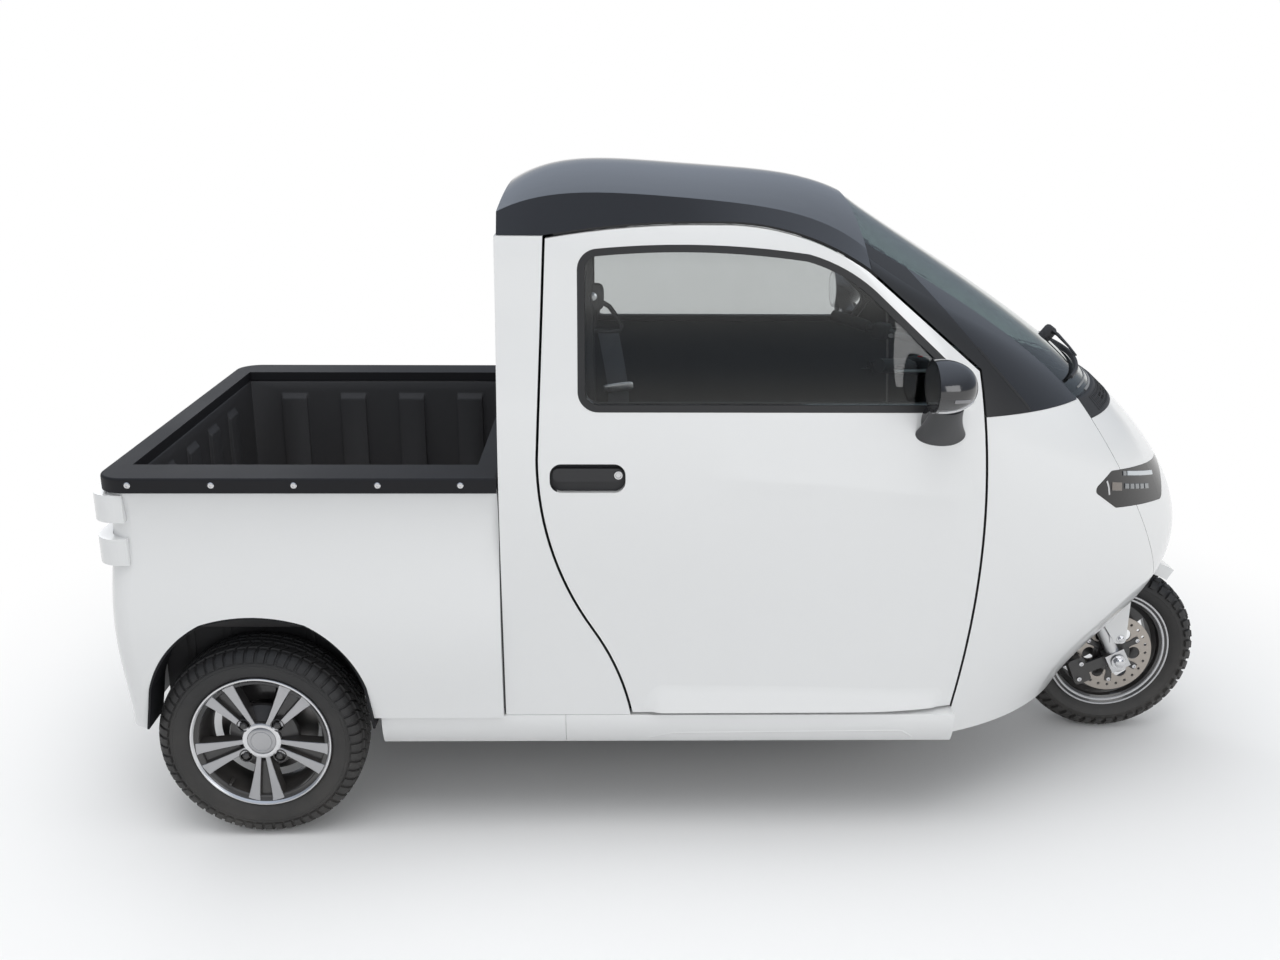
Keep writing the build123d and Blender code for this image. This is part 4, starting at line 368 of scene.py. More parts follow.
def pad(shape, place, half, power, cuts, dent=None, finish=0):
    """A block with full, rounded edges; dent pushes points in along the third way."""
    part = bmesh.new()
    bmesh.ops.create_cube(part, size=2)
    bmesh.ops.subdivide_edges(part, edges=part.edges[:], cuts=cuts, use_grid_fill=True)
    for vert in part.verts:
        length = sum(abs(c) ** power for c in vert.co) ** (1 / power)
        way = vert.co / length
        lift = dent(way) if dent else 0.0
        vert.co = place @ Vector((way.x * half[0], way.y * half[1], way.z * half[2] + lift))
    for face in part.faces:
        face.material_index = finish
    mesh = bpy.data.meshes.new("part")
    part.to_mesh(mesh)
    part.free()
    shape.from_mesh(mesh)
    bpy.data.meshes.remove(mesh)


screen_black = textured("screen_black", (0.006, 0.007, 0.009), 0.08, 300, 0.000004, spread=0.06, coat=1.0)
hood = bmesh.new()
hood_place = Matrix.Translation((0.800, 0.235, 1.000)) @ Matrix.Rotation(math.radians(-68), 4, "Y")
pad(hood, hood_place, (0.052, 0.088, 0.016), 7, 14)
pad(hood, hood_place @ Matrix.Translation((0, 0, 0.0155)), (0.042, 0.077, 0.0022), 9, 8, finish=1)
settle("dash_screen", hood, [moulded_black, screen_black], "body")

# Cushion, back and head restraint: black vinyl over foam, with channels sewn along and across it.
# The back stands on the cushion's rear edge, and two steel posts carry the head restraint.
seat_vinyl = textured("seat_vinyl", (0.020, 0.020, 0.022), 0.46, 700, 0.0002, spread=0.2)
bright_steel = textured("bright_steel", (0.62, 0.62, 0.63), 0.22, 900, 0.00002, spread=0.1, metallic=1.0)


def sewn(channels, crown, depth):
    """Crowned stuffing with channels sewn along it at the given places."""
    def dent(way):
        if way.z < 0:
            return 0.0
        lift = crown * (1 - way.x ** 2) * (1 - way.y ** 2)
        for axis, place in channels:
            lift -= depth * math.exp(-((way[axis] - place) / 0.035) ** 2) * way.z
        return lift
    return dent


HEAD_POST = ((0.0, 0.050), (0.006, 0.050), (0.006, -0.046), (0.010, -0.046), (0.010, -0.052), (0.0, -0.052))
SEATS = (
    # piece, stands for, middle, turn about Y, half sizes, channels (way across, place), crown
    ("cushion_pad", "seat_cushion", (-0.073, 0, 0.5155), 0, (0.240, 0.245, 0.042),
     ((1, -0.62), (1, 0.62), (0, -0.30), (0, 0.10), (0, 0.5)), 0.016),
    ("back_pad", "seat_back", (-0.346, 0, 0.8045), 87, (0.243, 0.235, 0.040),
     ((1, -0.62), (1, 0.62), (0, -0.45), (0, -0.1), (0, 0.25)), 0.012),
    ("head_pad", "headrest", (-0.345, 0, 1.190), 87, (0.072, 0.130, 0.036), ((1, -0.5), (1, 0.5)), 0.006),
)
for piece, node, middle, turn, half, channels, crown in SEATS:
    seat = bmesh.new()
    place = Matrix.Translation(middle) @ Matrix.Rotation(math.radians(turn), 4, "Y")
    pad(seat, place, half, 5.5, 54, sewn(channels, crown, 0.007))
    if node == "headrest":
        for y in (-0.06, 0.06):
            post = Matrix.Translation((-0.345, y, 1.085)) @ Matrix.Rotation(math.radians(90), 4, "X")
            lathe(seat, HEAD_POST, 16, post, finish=1)
    made = settle(piece, seat, [seat_vinyl, bright_steel], "body", sharp=60)
    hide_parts(node)

# Body panels: moulded panels in gloss white paint under a clear coat, with a faint orange peel.
# They are screwed to the frame edge to edge, and black lining covers their inner faces in the cab.
white_paint = textured("white_paint", (0.80, 0.805, 0.805), 0.34, 260, 0.00001, spread=0.06, dust=0.22,
                       fades_at=0.34, coat=0.8)
lining_black = textured("lining_black", (0.03, 0.03, 0.032), 0.7, 1300, 0.00015, spread=0.15)
CAB_HEART = Vector((0.25, 0, 0.95))


def line_inside(lining, *names):
    """Give the faces of a panel that look into the cab the lining's finish."""
    for name in names:
        mesh = nodes[name].data
        mesh.materials.append(lining)
        for face in mesh.polygons:
            if face.normal.dot((CAB_HEART - face.center).normalized()) > 0.35:
                face.material_index = 1


dress(white_paint, "cab_back", "side_panel_right", "side_panel_left", "nose_panel", "sill_right", "sill_left",
      "bed_side_right", "bed_side_left", "bed_rear", "door_right", "door_left", "tail_housings", "front_mudguard")
line_inside(lining_black, "cab_back", "side_panel_right", "side_panel_left", "nose_panel", "door_right", "door_left")

# Raised step along the foot of each front sill: a low bead, a millimetre proud of the panel.
# It is moulded with the sill and has the same paint.
def surface(*names):
    """What a ray can be cast at: these nodes as one surface."""
    points, faces = [], []
    for name in names:
        part = nodes[name]
        first = len(points)
        points += [part.matrix_world @ vert.co for vert in part.data.vertices]
        faces += [[first + index for index in face.vertices] for face in part.data.polygons]
    return BVHTree.FromPolygons(points, faces)


def from_side(tree, x, z, side):
    """Where a line from the side meets a surface, and the direction out of it; side is -1 on the right."""
    spot, normal, _, _ = tree.ray_cast(Vector((x, side * 2, z)), Vector((0, -side, 0)))
    return spot, normal if normal.y * side > 0 else -normal


def from_front(tree, y, z):
    """Where a line from the front meets a surface, and the direction out of it."""
    spot, normal, _, _ = tree.ray_cast(Vector((3, y, z)), Vector((-1, 0, 0)))
    return spot, normal if normal.x > 0 else -normal


def between(points, count):
    """Evenly spaced places along a line of points."""
    points = [Vector(point) for point in points]
    runs = [(b - a).length for a, b in zip(points, points[1:])]
    total, made = sum(runs), []
    for step in range(count):
        left = total * step / (count - 1)
        for (a, b), run in zip(zip(points, points[1:]), runs):
            if left <= run + 1e-9:
                break
            left -= run
        made.append(a.lerp(b, min(left / run, 1)))
    return made


def ribbon(shape, hits, section, finish=0):
    """A strip along places on a surface, with a section of offsets across it and out of it."""
    rings = []
    for k, (spot, normal) in enumerate(hits):
        way = (hits[min(k + 1, len(hits) - 1)][0] - hits[max(k - 1, 0)][0]).normalized()
        across = normal.cross(way).normalized()
        rings.append([spot + across * s + normal * h for s, h in section])
    skin(shape, rings, finish=finish)


def flat_strip(width, height, sink=0.0008):
    """A thin strip's section with eased edges."""
    half = width / 2
    return ((-half, -sink), (-half, 0.5 * height), (-half + 0.4 * height, height), (half - 0.4 * height, height),
            (half, 0.5 * height), (half, -sink))


BOTH_SIDES = ((-1, "right"), (1, "left"))
SILL_BEAD = ((-0.004, -0.0006), (-0.0012, 0.0011), (0.0012, 0.0011), (0.004, -0.0006))
SILL_STEP = ((-0.139, 0.250), (-0.084, 0.266), (0.466, 0.2715), (0.494, 0.250))
for side, name in BOTH_SIDES:
    step = bmesh.new()
    tree = surface("sill_" + name)
    ribbon(step, [from_side(tree, p.x, p.y, side) for p in between(SILL_STEP, 60)], SILL_BEAD)
    settle("sill_step_" + name, step, [white_paint], "body", sharp=50)

# Pressed forms of the door skins: a soft crease ahead of the handle, and a flared foot above the sill.
# They are the same painted skin, raised a few millimetres out of the door.
def step_up(value):
    """Nought to one, easing in and out."""
    value = min(max(value, 0.0), 1.0)
    return value * value * (3 - 2 * value)


def line_at(line, x):
    """The height of a line of points at a place along the door."""
    for (x0, z0), (x1, z1) in zip(line, line[1:]):
        if x <= x1:
            break
    return z0 + (z1 - z0) * (x - x0) / (x1 - x0)


CREASE_LINE = ((-0.10, 0.926), (0.047, 0.915), (0.327, 0.893), (0.62, 0.860))
CREASE_HEIGHT, CREASE_REACH = 0.0045, 0.055
FLARE_LINE = ((-0.20, 0.362), (-0.115, 0.4076), (0.215, 0.403), (0.60, 0.388))
FLARE_SLOPE, FLARE_BEND = 0.20, 0.03


def crease(x, z):
    """How far the crease stands out of the door at a place; it runs out towards both ends."""
    away = abs(z - line_at(CREASE_LINE, x)) / CREASE_REACH
    return CREASE_HEIGHT * math.exp(-away) * step_up((x + 0.06) / 0.16) * step_up((0.590 - x) / 0.05)


def flare(x, z):
    """How far the door's foot leans out at a place: a slope that starts in a soft bend."""
    below = max(line_at(FLARE_LINE, x) - z, 0.0)
    lean = below * below / FLARE_BEND * 0.5 if below < FLARE_BEND else below - FLARE_BEND / 2
    return FLARE_SLOPE * lean * step_up((x + 0.158) / 0.05) * step_up((0.566 - x) / 0.03)


PRESSINGS = (
    # piece, height of the form, from x, to x, rows, columns, foot and head of the patch
    ("door_crease", crease, -0.055, 0.588, 40, 60,
     lambda x: line_at(CREASE_LINE, x) - 0.16, lambda x: line_at(CREASE_LINE, x) + 0.12),
    ("door_flare", flare, -0.156, 0.564, 26, 60,
     lambda x: 0.3275, lambda x: line_at(FLARE_LINE, x) + 0.012),
)
for side, name in BOTH_SIDES:
    tree = surface("door_" + name)
    for piece, form, first, last, rows, columns, foot, head in PRESSINGS:
        pressing = bmesh.new()
        rings = []
        for row in range(rows + 1):
            ring = []
            for column in range(columns + 1):
                x = first + (last - first) * column / columns
                z = foot(x) + (head(x) - foot(x)) * row / rows
                spot = from_side(tree, x, z, side)[0]
                ring.append(spot + LEFT * (side * (form(x, z) - 0.0003)))
            rings.append(ring)
        if form is flare:
            rings.insert(0, [point - LEFT * (side * 0.010) for point in rings[0]])
        skin(pressing, rings, closed=False, caps=False)
        settle(piece + "_" + name, pressing, [white_paint], "door_" + name, sharp=50)

# Roof and windscreen pillars: gloss black mouldings, clipped over the cab's edge.
# A groove parts each pillar from the satin panel ahead of the door, which has its own finish.
gloss_black = textured("gloss_black", (0.012, 0.012, 0.014), 0.16, 200, 0.00001, spread=0.08, coat=1.0)
dress(gloss_black, "roof", "mirror_right", "mirror_left")
line_inside(lining_black, "roof")
SAIL_TOP = (0.582, 1.195)
SAIL_FOOT = (0.714, 1.0505)
SAIL_CORNER = (0.707, 1.062)

sail_group, g_in, g_out = new_group(
    "behind_a_line", (("Slope", "NodeSocketFloat", 1.0), ("Height", "NodeSocketFloat", 1.0)),
    (("Mask", "NodeSocketFloat"),))
g_place = add_node(sail_group, "ShaderNodeTexCoord")
g_split = add_node(sail_group, "ShaderNodeSeparateXYZ")
g_line = add_node(sail_group, "ShaderNodeMath", operation="MULTIPLY_ADD")
g_under = add_node(sail_group, "ShaderNodeMath", operation="GREATER_THAN")
chain(sail_group, (g_place.outputs["Object"], g_split.inputs[0]), (g_split.outputs["X"], g_line.inputs[0]),
      (g_in.outputs["Slope"], g_line.inputs[1]), (g_in.outputs["Height"], g_line.inputs[2]),
      (g_line.outputs[0], g_under.inputs[0]), (g_split.outputs["Z"], g_under.inputs[1]),
      (g_under.outputs[0], g_out.inputs["Mask"]))

PILLAR_GLOSS = (0.012, 0.012, 0.014)
PANEL_SATIN = (0.018, 0.018, 0.019)
pillar_black, pillar_shader = new_material("pillar_black", PILLAR_GLOSS, 0.16)
pillar_tree = pillar_black.node_tree
sail = add_node(pillar_tree, "ShaderNodeGroup", node_tree=sail_group)
sail.inputs["Slope"].default_value = (SAIL_FOOT[1] - SAIL_TOP[1]) / (SAIL_FOOT[0] - SAIL_TOP[0])
sail.inputs["Height"].default_value = SAIL_TOP[1] - sail.inputs["Slope"].default_value * SAIL_TOP[0]
sail_gloss = add_node(pillar_tree, "ShaderNodeMapRange")
sail_gloss.inputs["To Min"].default_value = 0.16
sail_gloss.inputs["To Max"].default_value = 0.42
sail_coat = add_node(pillar_tree, "ShaderNodeMapRange")
sail_coat.inputs["To Min"].default_value = 1.0
sail_coat.inputs["To Max"].default_value = 0.0
sail_colour = add_node(pillar_tree, "ShaderNodeMix", data_type="RGBA")
sail_colour.inputs["A"].default_value = (*PILLAR_GLOSS, 1)
sail_colour.inputs["B"].default_value = (*PANEL_SATIN, 1)
sail_grain = add_node(pillar_tree, "ShaderNodeGroup", node_tree=surface_group)
sail_grain.inputs["Scale"].default_value = 1200
sail_bump = add_node(pillar_tree, "ShaderNodeBump", Strength=1.0, Distance=0.00002)
chain(pillar_tree, (sail.outputs["Mask"], sail_gloss.inputs["Value"]),
      (sail.outputs["Mask"], sail_coat.inputs["Value"]), (sail.outputs["Mask"], sail_colour.inputs["Factor"]),
      (sail_gloss.outputs[0], pillar_shader.inputs["Roughness"]),
      (sail_coat.outputs[0], pillar_shader.inputs["Coat Weight"]),
      (sail_colour.outputs["Result"], pillar_shader.inputs["Base Color"]),
      (sail_grain.outputs["Height"], sail_bump.inputs["Height"]),
      (sail_bump.outputs["Normal"], pillar_shader.inputs["Normal"]))
dress(pillar_black, "pillar_right", "pillar_left")
line_inside(lining_black, "pillar_right", "pillar_left")
for side, name in BOTH_SIDES:
    groove = bmesh.new()
    tree = surface("pillar_" + name)
    ribbon(groove, [from_side(tree, p.x, p.y, side) for p in between((SAIL_TOP, SAIL_CORNER, SAIL_FOOT), 40)],
           flat_strip(0.007, 0.0006))
    settle("pillar_groove_" + name, groove, [rubber_black], "body")

# Rubber seals under the roof's edge, above each door, and in the joint between the cab and the load bed.
# They are extruded strips, pushed into the gap between two panels.
def from_door(tree, x, z, side):
    """Whether a line from the side meets the near door at a place."""
    return tree.ray_cast(Vector((x, side * 2, z)), Vector((0, -side, 0)), 1.8)[0] is not None


ROOF_SEAL = ((-0.0045, -0.006), (-0.0045, -0.001), (-0.003, 0), (0.003, 0), (0.0045, -0.001), (0.0045, -0.006))
JOINT_SEAL = ((-0.0026, -0.008), (-0.0026, 0), (0.0026, 0), (0.0026, -0.008))
ROOF_SEAL_START, ROOF_SEAL_RUN = -0.352, 0.70
ABOVE_DOORS = 1.50
JOINT_X, JOINT_FOOT, JOINT_RISE = -0.480, 0.335, 0.545
for side, name in BOTH_SIDES:
    seal = bmesh.new()
    door_tree = surface("door_" + name)
    over = surface("roof", "pillar_" + name)
    hits = []
    for k in range(60):
        x = ROOF_SEAL_START + ROOF_SEAL_RUN * k / 59
        top = ABOVE_DOORS
        while not from_door(door_tree, x, top, side):
            top -= 0.0005
        spot = over.ray_cast(Vector((x, side * 2, top + 0.013)), Vector((0, -side, 0)))[0]
        if spot and spot.y * side > 0.4:
            hits.append((Vector((x, spot.y - side * 0.001, top + 0.0065)), LEFT * side))
    ribbon(seal, hits, ROOF_SEAL)
    bed = surface("bed_side_" + name)
    back = surface("cab_back")
    hits = []
    for k in range(40):
        z = JOINT_FOOT + JOINT_RISE * k / 39
        spot = from_side(bed, JOINT_X - 0.0045, z, side)[0]
        other = from_side(back, JOINT_X + 0.0045, z, side)[0]
        hits.append((Vector((JOINT_X, side * (min(abs(spot.y), abs(other.y)) - 0.0016), z)), LEFT * side))
    ribbon(seal, hits, JOINT_SEAL)
    settle("body_seal_" + name, seal, [rubber_black], "body")

# Glazing: toughened glass with a grey tint and a breath of dust, bonded into the cab and the doors.
# The windscreen has two grey trims along its foot, and the rear window a black printed edge that hides its glue.
def tinted_glass(name, colour):
    made, shader = new_material(name, colour, 0.0)
    shader.inputs["Transmission Weight"].default_value = 1.0
    shader.inputs["IOR"].default_value = 1.45
    dusted(made.node_tree, shader, colour, 0.3, 2.0)
    return made


side_glass = tinted_glass("side_glass", (0.70, 0.72, 0.72))
screen_glass = tinted_glass("screen_glass", (0.38, 0.46, 0.45))
dress(side_glass, "door_glass_right", "door_glass_left", "rear_window")
dress(screen_glass, "windscreen")
trim_grey = textured("trim_grey", (0.20, 0.205, 0.21), 0.38, 900, 0.00003, spread=0.1)
print_black = textured("print_black", (0.01, 0.01, 0.011), 0.3, 400, 0.00001)
screen = surface("windscreen")
trim = bmesh.new()
FOOT_TRIMS = (
    # height, half length, width
    (1.0495, 0.30, 0.007), (1.062, 0.33, 0.005),
)
for height, half, width in FOOT_TRIMS:
    ribbon(trim, [from_front(screen, -half + 2 * half * k / 40, height) for k in range(41)], flat_strip(width, 0.0016))
settle("screen_foot_trim", trim, [trim_grey], "body")
EDGE_WIDTH, EDGE_OUT_RADIUS, EDGE_IN_RADIUS = 0.026, 0.040, 0.030
CORNER_STEPS = 6
back_low, back_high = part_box("rear_window")


def window_ring(x, inset, radius):
    """The rear window's outline with rounded corners, drawn in by an inset."""
    corners = ((back_low[1], back_low[2]), (back_high[1], back_low[2]), (back_high[1], back_high[2]),
               (back_low[1], back_high[2]))
    ring = []
    for corner, (y, z) in enumerate(corners):
        in_y, in_z = 1 if y < 0 else -1, 1 if corner < 2 else -1
        for step in range(CORNER_STEPS + 1):
            turn = math.pi / 2 * (step if corner in (0, 2) else CORNER_STEPS - step) / CORNER_STEPS
            ring.append(Vector((x, y + (inset + radius * (1 - math.cos(turn))) * in_y,
                                z + (inset + radius * (1 - math.sin(turn))) * in_z)))
    return ring


frit = bmesh.new()
on_glass, raised = back_high[0] + 0.0006, back_high[0] + 0.0014
skin(frit, [window_ring(on_glass, 0, EDGE_OUT_RADIUS), window_ring(on_glass, EDGE_WIDTH, EDGE_IN_RADIUS),
            window_ring(raised, EDGE_WIDTH, EDGE_IN_RADIUS), window_ring(raised, 0, EDGE_OUT_RADIUS)], loop=True)
settle("rear_window_edge", frit, [print_black], "body")

# Seals round the side windows: extruded rubber with a lip on the glass, pressed into the door's frame.
# The grips on the handlebar are moulded in the same rubber.
dress(rubber_black, "window_seal_right", "window_seal_left", "grips")

# Door pull handles: grained black plastic, screwed into their recesses from inside the door.
# Each has a bright steel lock barrel at its front end.
grained_black = textured("grained_black", (0.022, 0.022, 0.024), 0.5, 1100, 0.00015, spread=0.2, dust=0.15,
                         fades_at=0.5)
dress(grained_black, "handle_right", "handle_left")
LOCK_BARREL = ((0.0, 0.0012), (0.0055, 0.0012), (0.0062, 0.0006), (0.0066, 0.0022), (0.0092, 0.0020), (0.0100, 0.0008),
               (0.0100, -0.0030))
for side, name in BOTH_SIDES:
    lock = bmesh.new()
    lathe(lock, LOCK_BARREL, 24, Matrix.Translation((-0.212, side * 0.587, 0.922)) @ outward(side))
    settle("door_lock_" + name, lock, [bright_steel], "door_" + name)

# Door mirrors: gloss black shells on satin skirts, with a silvered glass, a bright lower edge and a small side lamp.
# Each skirt flares to the door's skin and is screwed to it from inside.
mirror_silver = textured("mirror_silver", (0.80, 0.81, 0.82), 0.03, 60, 0.000001, spread=0.03, metallic=1.0)
dress(mirror_silver, "mirror_glass_right", "mirror_glass_left")
lamp_smoke = textured("lamp_smoke", (0.20, 0.20, 0.21), 0.15, 900, 0.00003, coat=1.0)
satin_grey = textured("satin_grey", (0.040, 0.040, 0.043), 0.42, 1000, 0.00006)
MIRROR_MIDDLE = Vector((0.490, 0.664, 1.142))
EDGE_START, EDGE_RUN, EDGE_RISE = 0.456, 0.074, 0.012
SIDE_LAMP = ((0.482, 1.1255), (0.518, 1.1245))
SKIRT_ENDS = ((0.497, 0.580, 1.014), (0.491, 0.650, 1.094))
for side, name in BOTH_SIDES:
    tree = surface("mirror_" + name)
    extra = bmesh.new()
    edge = []
    for step in range(25):
        share = step / 24
        start = Vector((EDGE_START + EDGE_RUN * share, side * (MIRROR_MIDDLE.y + 0.3),
                        MIRROR_MIDDLE.z - 0.3 + EDGE_RISE * share ** 2))
        spot, out, _, _ = tree.ray_cast(start, Vector((0, -side, 1)).normalized())
        if spot:
            edge.append((spot, out if out.y * side > 0 else -out))
    ribbon(extra, edge, flat_strip(0.009, 0.0014, 0.002), 0)
    ribbon(extra, [from_side(tree, p.x, p.y, side) for p in between(SIDE_LAMP, 11)],
           flat_strip(0.0085, 0.0012, 0.002), 1)
    foot, head = (Vector((x, side * y, z)) for x, y, z in SKIRT_ENDS)
    rings = []
    for step in range(9):
        share = step / 8
        half_x = 0.035 + 0.021 * (1 - share) ** 2
        half_z = 0.020 + 0.008 * (1 - share) ** 2
        other = Vector((0, -side * 0.72 * share, 1 - 0.31 * share)).normalized()
        rings.append([foot.lerp(head, share) + AHEAD * (half_x * math.cos(2 * math.pi * k / 40))
                      + other * (half_z * math.sin(2 * math.pi * k / 40)) for k in range(40)])
    skin(extra, rings, finish=2)
    settle("mirror_trim_" + name, extra, [bright_steel, lamp_smoke, satin_grey], "door_" + name)

# Air grille at the foot of the windscreen: a grained black moulding, clipped to the nose panel.
# A fine moulded mesh is let into its slots.
dress(grained_black, "cowl_grille")
cowl = surface("cowl_grille")
mesh_bars = bmesh.new()
COWL_HALF, MESH_PITCH = 0.33, 0.012
SLOT_FOOT, SLOT_TOP = 1.0035, 1.0432
BAR_SECTION = ((-0.0009, -0.002), (-0.0009, 0.0012), (0.0009, 0.0012), (0.0009, -0.002))


def on_cowl(y, share):
    """A place on the grille, a share of the way up its slots."""
    low, low_out = from_front(cowl, y, SLOT_FOOT)
    high, high_out = from_front(cowl, y, SLOT_TOP)
    return low.lerp(high, share), low_out.lerp(high_out, share).normalized()


for share in (0.12, 0.31, 0.5, 0.69, 0.88):
    ribbon(mesh_bars, [on_cowl(COWL_HALF * (k / 30 - 1), share) for k in range(61)], BAR_SECTION)
for column in range(56):
    y = -COWL_HALF + MESH_PITCH * column
    ribbon(mesh_bars, [on_cowl(y, 0.08), on_cowl(y, 0.5), on_cowl(y, 0.92)], BAR_SECTION)
settle("cowl_mesh", mesh_bars, [moulded_black], "body")

# Windscreen wiper: a painted arm on a capped spindle, which comes through the foot of the windscreen.
# It presses a rubber blade in a moulded carrier against the glass.
def tube(shape, points, radii, sides=10, flat=1.0, up=None, finish=0):
    """A bar of changing radius along points; flat squeezes it along up."""
    points = [Vector(point) for point in points]
    rings = []
    for k, point in enumerate(points):
        way = (points[min(k + 1, len(points) - 1)] - points[max(k - 1, 0)]).normalized()
        high = Vector(up) if up else (UP if abs(way.z) < 0.9 else AHEAD)
        across = way.cross(high).normalized()
        high = across.cross(way).normalized()
        radius = radii[k] if isinstance(radii, (tuple, list)) else radii
        rings.append([point + across * (radius * math.cos(2 * math.pi * s / sides))
                      + high * (flat * radius * math.sin(2 * math.pi * s / sides)) for s in range(sides)])
    skin(shape, rings, finish=finish)


SPINDLE_CAP = ((0.0, 0.034), (0.010, 0.0335), (0.0155, 0.030), (0.0175, 0.024), (0.0175, 0.004), (0.022, 0.002),
               (0.022, -0.001))
BLADE_CARRIER = ((-0.004, -0.002), (-0.0045, 0.002), (0, 0.005), (0.0045, 0.002), (0.004, -0.002))
BLADE_LIP = ((-0.0012, 0.0006), (-0.0022, 0.0095), (0.0022, 0.0095), (0.0012, 0.0006))
ARM_RADII = (0.0085, 0.0075, 0.0055, 0.0045)
wiper = bmesh.new()
spindle, spindle_out = from_front(screen, 0.0, 1.120)
cap = Matrix.Translation(spindle) @ spindle_out.to_track_quat("Y", "Z").to_matrix().to_4x4()
lathe(wiper, SPINDLE_CAP, 28, cap)
blade = [from_front(screen, 0.10 - 0.44 * k / 24, 1.094 - 0.010 * k / 24) for k in range(25)]
arm_end = blade[13][0] + blade[13][1] * 0.017
arm = (spindle + spindle_out * 0.024, spindle.lerp(arm_end, 0.25) + spindle_out * 0.022,
       spindle.lerp(arm_end, 0.7) + spindle_out * 0.010, arm_end)
tube(wiper, arm, ARM_RADII, 12, 0.6, spindle_out)
ribbon(wiper, [(spot + out * 0.010, out) for spot, out in blade], BLADE_CARRIER)
ribbon(wiper, blade, BLADE_LIP, 1)
settle("wiper", wiper, [moulded_black, rubber_black], "body")

# Headlamps: dark glossy mouldings let into the nose, with one long pale lens above and a row of grey ones below.
# A bright bow stands at the rear, with a warm metal reflector ahead of it.
lamp_dark = textured("lamp_dark", (0.014, 0.013, 0.013), 0.08, 100, 0.000005, coat=0.2, specular=0.3)
dress(lamp_dark, "headlamps")
lens_pale = textured("lens_pale", (0.50, 0.54, 0.57), 0.12, 700, 0.00004, coat=1.0)
lens_grey = textured("lens_grey", (0.13, 0.14, 0.15), 0.15, 700, 0.00004, coat=1.0)
warm_reflector = textured("warm_reflector", (0.15, 0.125, 0.105), 0.25, 500, 0.00005, metallic=0.7, coat=1.0)
lamp_tree = surface("headlamps")
LAMP_MARKS = (
    # line in side view, width, height, finish, number of lenses
    (((1.016, 0.8562), (1.138, 0.8222)), 0.0115, 0.0020, 0, 1),
    (((1.000, 0.8602), (1.013, 0.8567)), 0.0115, 0.0020, 3, 1),
    (((1.006, 0.8300), (1.100, 0.8040)), 0.0125, 0.0020, 3, 5),
    (((0.943, 0.8570), (0.949, 0.8430), (0.951, 0.8300), (0.9535, 0.8170)), 0.0055, 0.0018, 1, 1),
    (((0.961, 0.8405), (1.001, 0.8300)), 0.0200, 0.0010, 2, 1),
)
for side, name in BOTH_SIDES:
    marks = bmesh.new()
    for line, width, height, finish, count in LAMP_MARKS:
        spots = between(line, count * 8)
        for k in range(count):
            lens = [from_side(lamp_tree, p.x, p.y, side) for p in spots[8 * k:8 * k + 7]]
            ribbon(marks, lens, flat_strip(width, height), finish)
    settle("headlamp_inner_" + name, marks, [lens_pale, bright_steel, warm_reflector, lens_grey], "body")

# Load bed lining: a ribbed tub, its rim and the wheel arch liners, moulded in grained black plastic.
# Screws hold the rim to the side panels, and low bars stiffen the floor.
# Painted light: the tub's copy of this plastic is painted lighter to stand in for light in its shaded hollow, and the
# rim's copy is painted darker to damp the light on its upturned top. The arch liners share the rim's darker copy.
tub_black_painted_lighter = textured("tub_black_painted_lighter", (0.034, 0.034, 0.037), 0.55, 900, 0.00025, spread=0.2, dust=0.2, fades_at=0.9)
rim_black_painted_darker = textured("rim_black_painted_darker", (0.012, 0.012, 0.014), 0.6, 1100, 0.00012, spread=0.15, specular=0.25)
dress(tub_black_painted_lighter, "bed_tub")
dress(rim_black_painted_darker, "bed_rim", "arch_liners")
joined = nodes["bed_tub"].modifiers.new("joined", "WELD")
joined.merge_threshold = 0.00005
eased = nodes["bed_tub"].modifiers.new("eased_edges", "BEVEL")
eased.width = 0.005
eased.segments = 3
eased.limit_method = "ANGLE"
eased.angle_limit = math.radians(30)
BED_FLOOR = 0.5175
BAR_COUNT, BAR_PITCH = 8, 0.112
bars = bmesh.new()
for row in range(BAR_COUNT):
    y = (row - (BAR_COUNT - 1) / 2) * BAR_PITCH
    rib(bars, Vector((-1.290, y, BED_FLOOR)), Vector((-0.560, y, BED_FLOOR)), LEFT, UP, 0.052, 0.007)
settle("bed_floor_bars", bars, [tub_black_painted_lighter], "body")
RIM_SCREWS = (-1.294, -1.1105, -0.9286, -0.7441, -0.5615)
RIM_SCREW_HEIGHT = 0.8985
PAN_HEAD = ((0.0, 0.0012), (0.0028, 0.0012), (0.0030, 0.0030), (0.0058, 0.0026), (0.0074, 0.0010), (0.0076, -0.0010))
screws = bmesh.new()
rim_tree = surface("bed_rim")
for x in RIM_SCREWS:
    for side in (-1, 1):
        spot = from_side(rim_tree, x, RIM_SCREW_HEIGHT, side)[0]
        lathe(screws, PAN_HEAD, 20, Matrix.Translation(spot) @ outward(side))
settle("rim_screws", screws, [bright_steel], "body")

